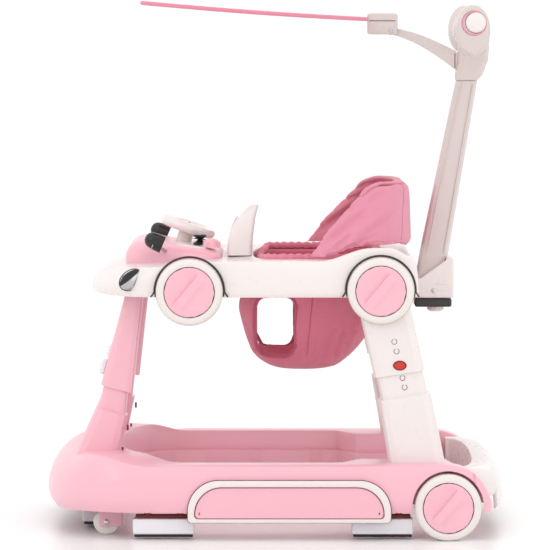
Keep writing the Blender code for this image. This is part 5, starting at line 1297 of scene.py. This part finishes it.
for side, sign in SIDES:
    # A pink ring shows in front of each button, because the recess is wider than the button.
    ring = turned(((0.0168, 0.0), (0.0168, 0.0007), (0.0174, 0.0010), (0.0190, 0.0010), (0.0195, 0.0006),
                   (0.0195, 0.0)),
                  72, around=True)
    fitted(f"grip_inlay_{side}", stood(ring, (recess_x + 0.0010, sign * (GRIP_HALF - 0.0021), recess_z),
                                       (0, sign, 0)),
           pink_inlay, "grip")
    dome = turned(((0, 0.0050), (0.006, 0.0048), (0.010, 0.0042), (0.0132, 0.0030), (0.0152, 0.0014),
                   (0.0160, -0.0006),
                   (0.0160, -0.0040), (0, -0.0040)), 64)
    fitted(f"grip_button_dome_{side}", stood(dome, (BUTTON_X, sign * GRIP_HALF, BUTTON_Z), (0, sign, 0)),
           white,
           f"grip_button_{side}", f"grip_button_{side}")
    # The seam nearer the middle is a dark line of painted shade; the outer one is white.
    for out, wide, high, finish in ((30, 0.0226, 0.0242, gap_shade), (72, 0.0184, 0.0214, white)):
        turns = [radians(a) for a in range(0, 360, 8)]
        band = [Vector((GRIP_X + wide * cos(turn), sign * out / 1000,
                        GRIP_Z + high * sin(turn))) for turn in turns]
        bent_line(f"grip_seam_{out}_{side}", band, 0.0005, finish, "grip")


# ------------------------------------------------------------------ canopy
# A small sun canopy: woven cloth stretched over a wire hoop, hemmed round its edge and held by a
# clamp that tilts on a riveted arm.

softened("canopy_arm", handle_white, "handle", edge=0.0012, segments=3, angle=24)
softened("canopy_clamp", handle_white, "canopy", edge=0.0016, segments=3, angle=30)
clamp_low, clamp_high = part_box("canopy_clamp")
arm_low, arm_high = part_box("canopy_arm")
RIVET = Vector((clamp_high.x - 0.011, 0, 0.7815))
root = slab((arm_high.x - 0.0035, arm_low.y, 0.7200), (arm_high.x + 0.0060, arm_high.y, 0.7465), 0.0015, 2)
fitted("canopy_arm_root", root, handle_white, "handle")
for side, sign in SIDES:
    head = turned(((0, 0.0012), (0.0018, 0.0011), (0.0030, 0.0003), (0.0032, -0.0012), (0, -0.0012)), 32)
    fitted(f"clamp_rivet_{side}", stood(head, (RIVET.x, sign * (clamp_high.y - 0.0002), RIVET.z),
                                        (0, sign, 0)), steel,
           "canopy")
    # A dark line of painted shade marks the split in the clamp.
    split = slab((clamp_low.x + 0.003, sign * (clamp_high.y - 0.0006) - 0.0004, clamp_high.z - 0.0125),
                 (clamp_high.x - 0.004, sign * (clamp_high.y - 0.0006) + 0.0007, clamp_high.z - 0.0117))
    fitted(f"clamp_split_{side}", split, gap_shade, "canopy")

canopy_low, canopy_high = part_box("canopy")
CANOPY_EDGE, CANOPY_LENGTH = canopy_high.x, canopy_high.x - canopy_low.x
CANOPY_HALF = canopy_high.y
EDGE_Z = clamp_high.z - 0.0095


def canopy_place(share, across):
    """A point on the cloth's middle, share from the clamp to its front edge, across from -1 to 1."""
    reach = abs(2 * share - 1)
    half = CANOPY_HALF * (1 - 0.28 * reach ** 5) * (0.86 + 0.28 * share if share < 0.5 else 1)
    z = EDGE_Z + 0.0705 * CANOPY_LENGTH * share - 0.003 * sin(pi * share)
    pull = 0.0016 * sin(pi * share) * (across * across - 0.35)
    return Vector((CANOPY_EDGE - 0.0035 - (CANOPY_LENGTH - 0.0070) * share, (half - 0.0032) * across,
                   z + pull))


canopy_cloth = cloth("canopy_weave", linear(240, 146, 168), "canopy_cloth", weave=0.6)
across_steps = [sin(radians(90 * (k / 24 - 1))) for k in range(49)]
cloth_rows = [[canopy_place(0.5 - 0.5 * cos(pi * k / 48),
                            across) for across in across_steps] for k in range(49)]
bm = lattice([[tuple(place) for place in row] for row in cloth_rows], around=False)
for vert in bm.verts:
    vert.co.z += 0.0007 * noise.noise(vert.co * 22) + 0.0002 * noise.noise(vert.co * 90)
canopy_sheet = fitted("canopy_sheet", bm, canopy_cloth, "canopy", "canopy", sharp=180)
thickness = canopy_sheet.modifiers.new("cloth_thickness", "SOLIDIFY")
thickness.thickness = 0.0012
thickness.offset = 0
outline = [row[-1] for row in cloth_rows] + cloth_rows[-1][-2::-1]
outline += [row[0] for row in cloth_rows[-2::-1]] + cloth_rows[0][1:-1]
outline = [p for k, p in enumerate(outline) if (p - outline[k - 1]).length > 1e-5]
hem_line = spaced(outline, 0.004)
hem_rows = []
for number, place in enumerate(hem_line):
    before, after = hem_line[number - 1], hem_line[(number + 1) % len(hem_line)]
    outward = (after - before).cross(Vector((0, 0, 1))).normalized()
    gather = 1 + 0.05 * noise.noise(place * 120)
    hem_rows.append([place + outward * 0.0031 * gather * cos(turn) + Vector((0, 0,
                                                                             0.0033 * gather * sin(turn)))
                     for turn in ROUND])
hem_piece = fitted("canopy_hem", lattice(hem_rows, closed=True), canopy_cloth, "canopy", sharp=180)
canopy_thread = cloth("canopy_thread", linear(214, 112, 140), "canopy_cloth", weave=0.9)
middle = Vector((sum(p.x for p in hem_line) / len(hem_line), 0, EDGE_Z + 0.009))
inner_line = []
for place in hem_line:
    inward = Vector((middle.x - place.x, -place.y, 0))
    inner_line.append(place + inward.normalized() * 0.0052)
for level in (1, -1):
    line = [p + Vector((0, 0, level * 0.0008)) for p in inner_line]
    bent_line(f"canopy_stitch_{'top' if level > 0 else 'under'}", line, 0.0005,
                              canopy_thread, "canopy",
                              sides=6)
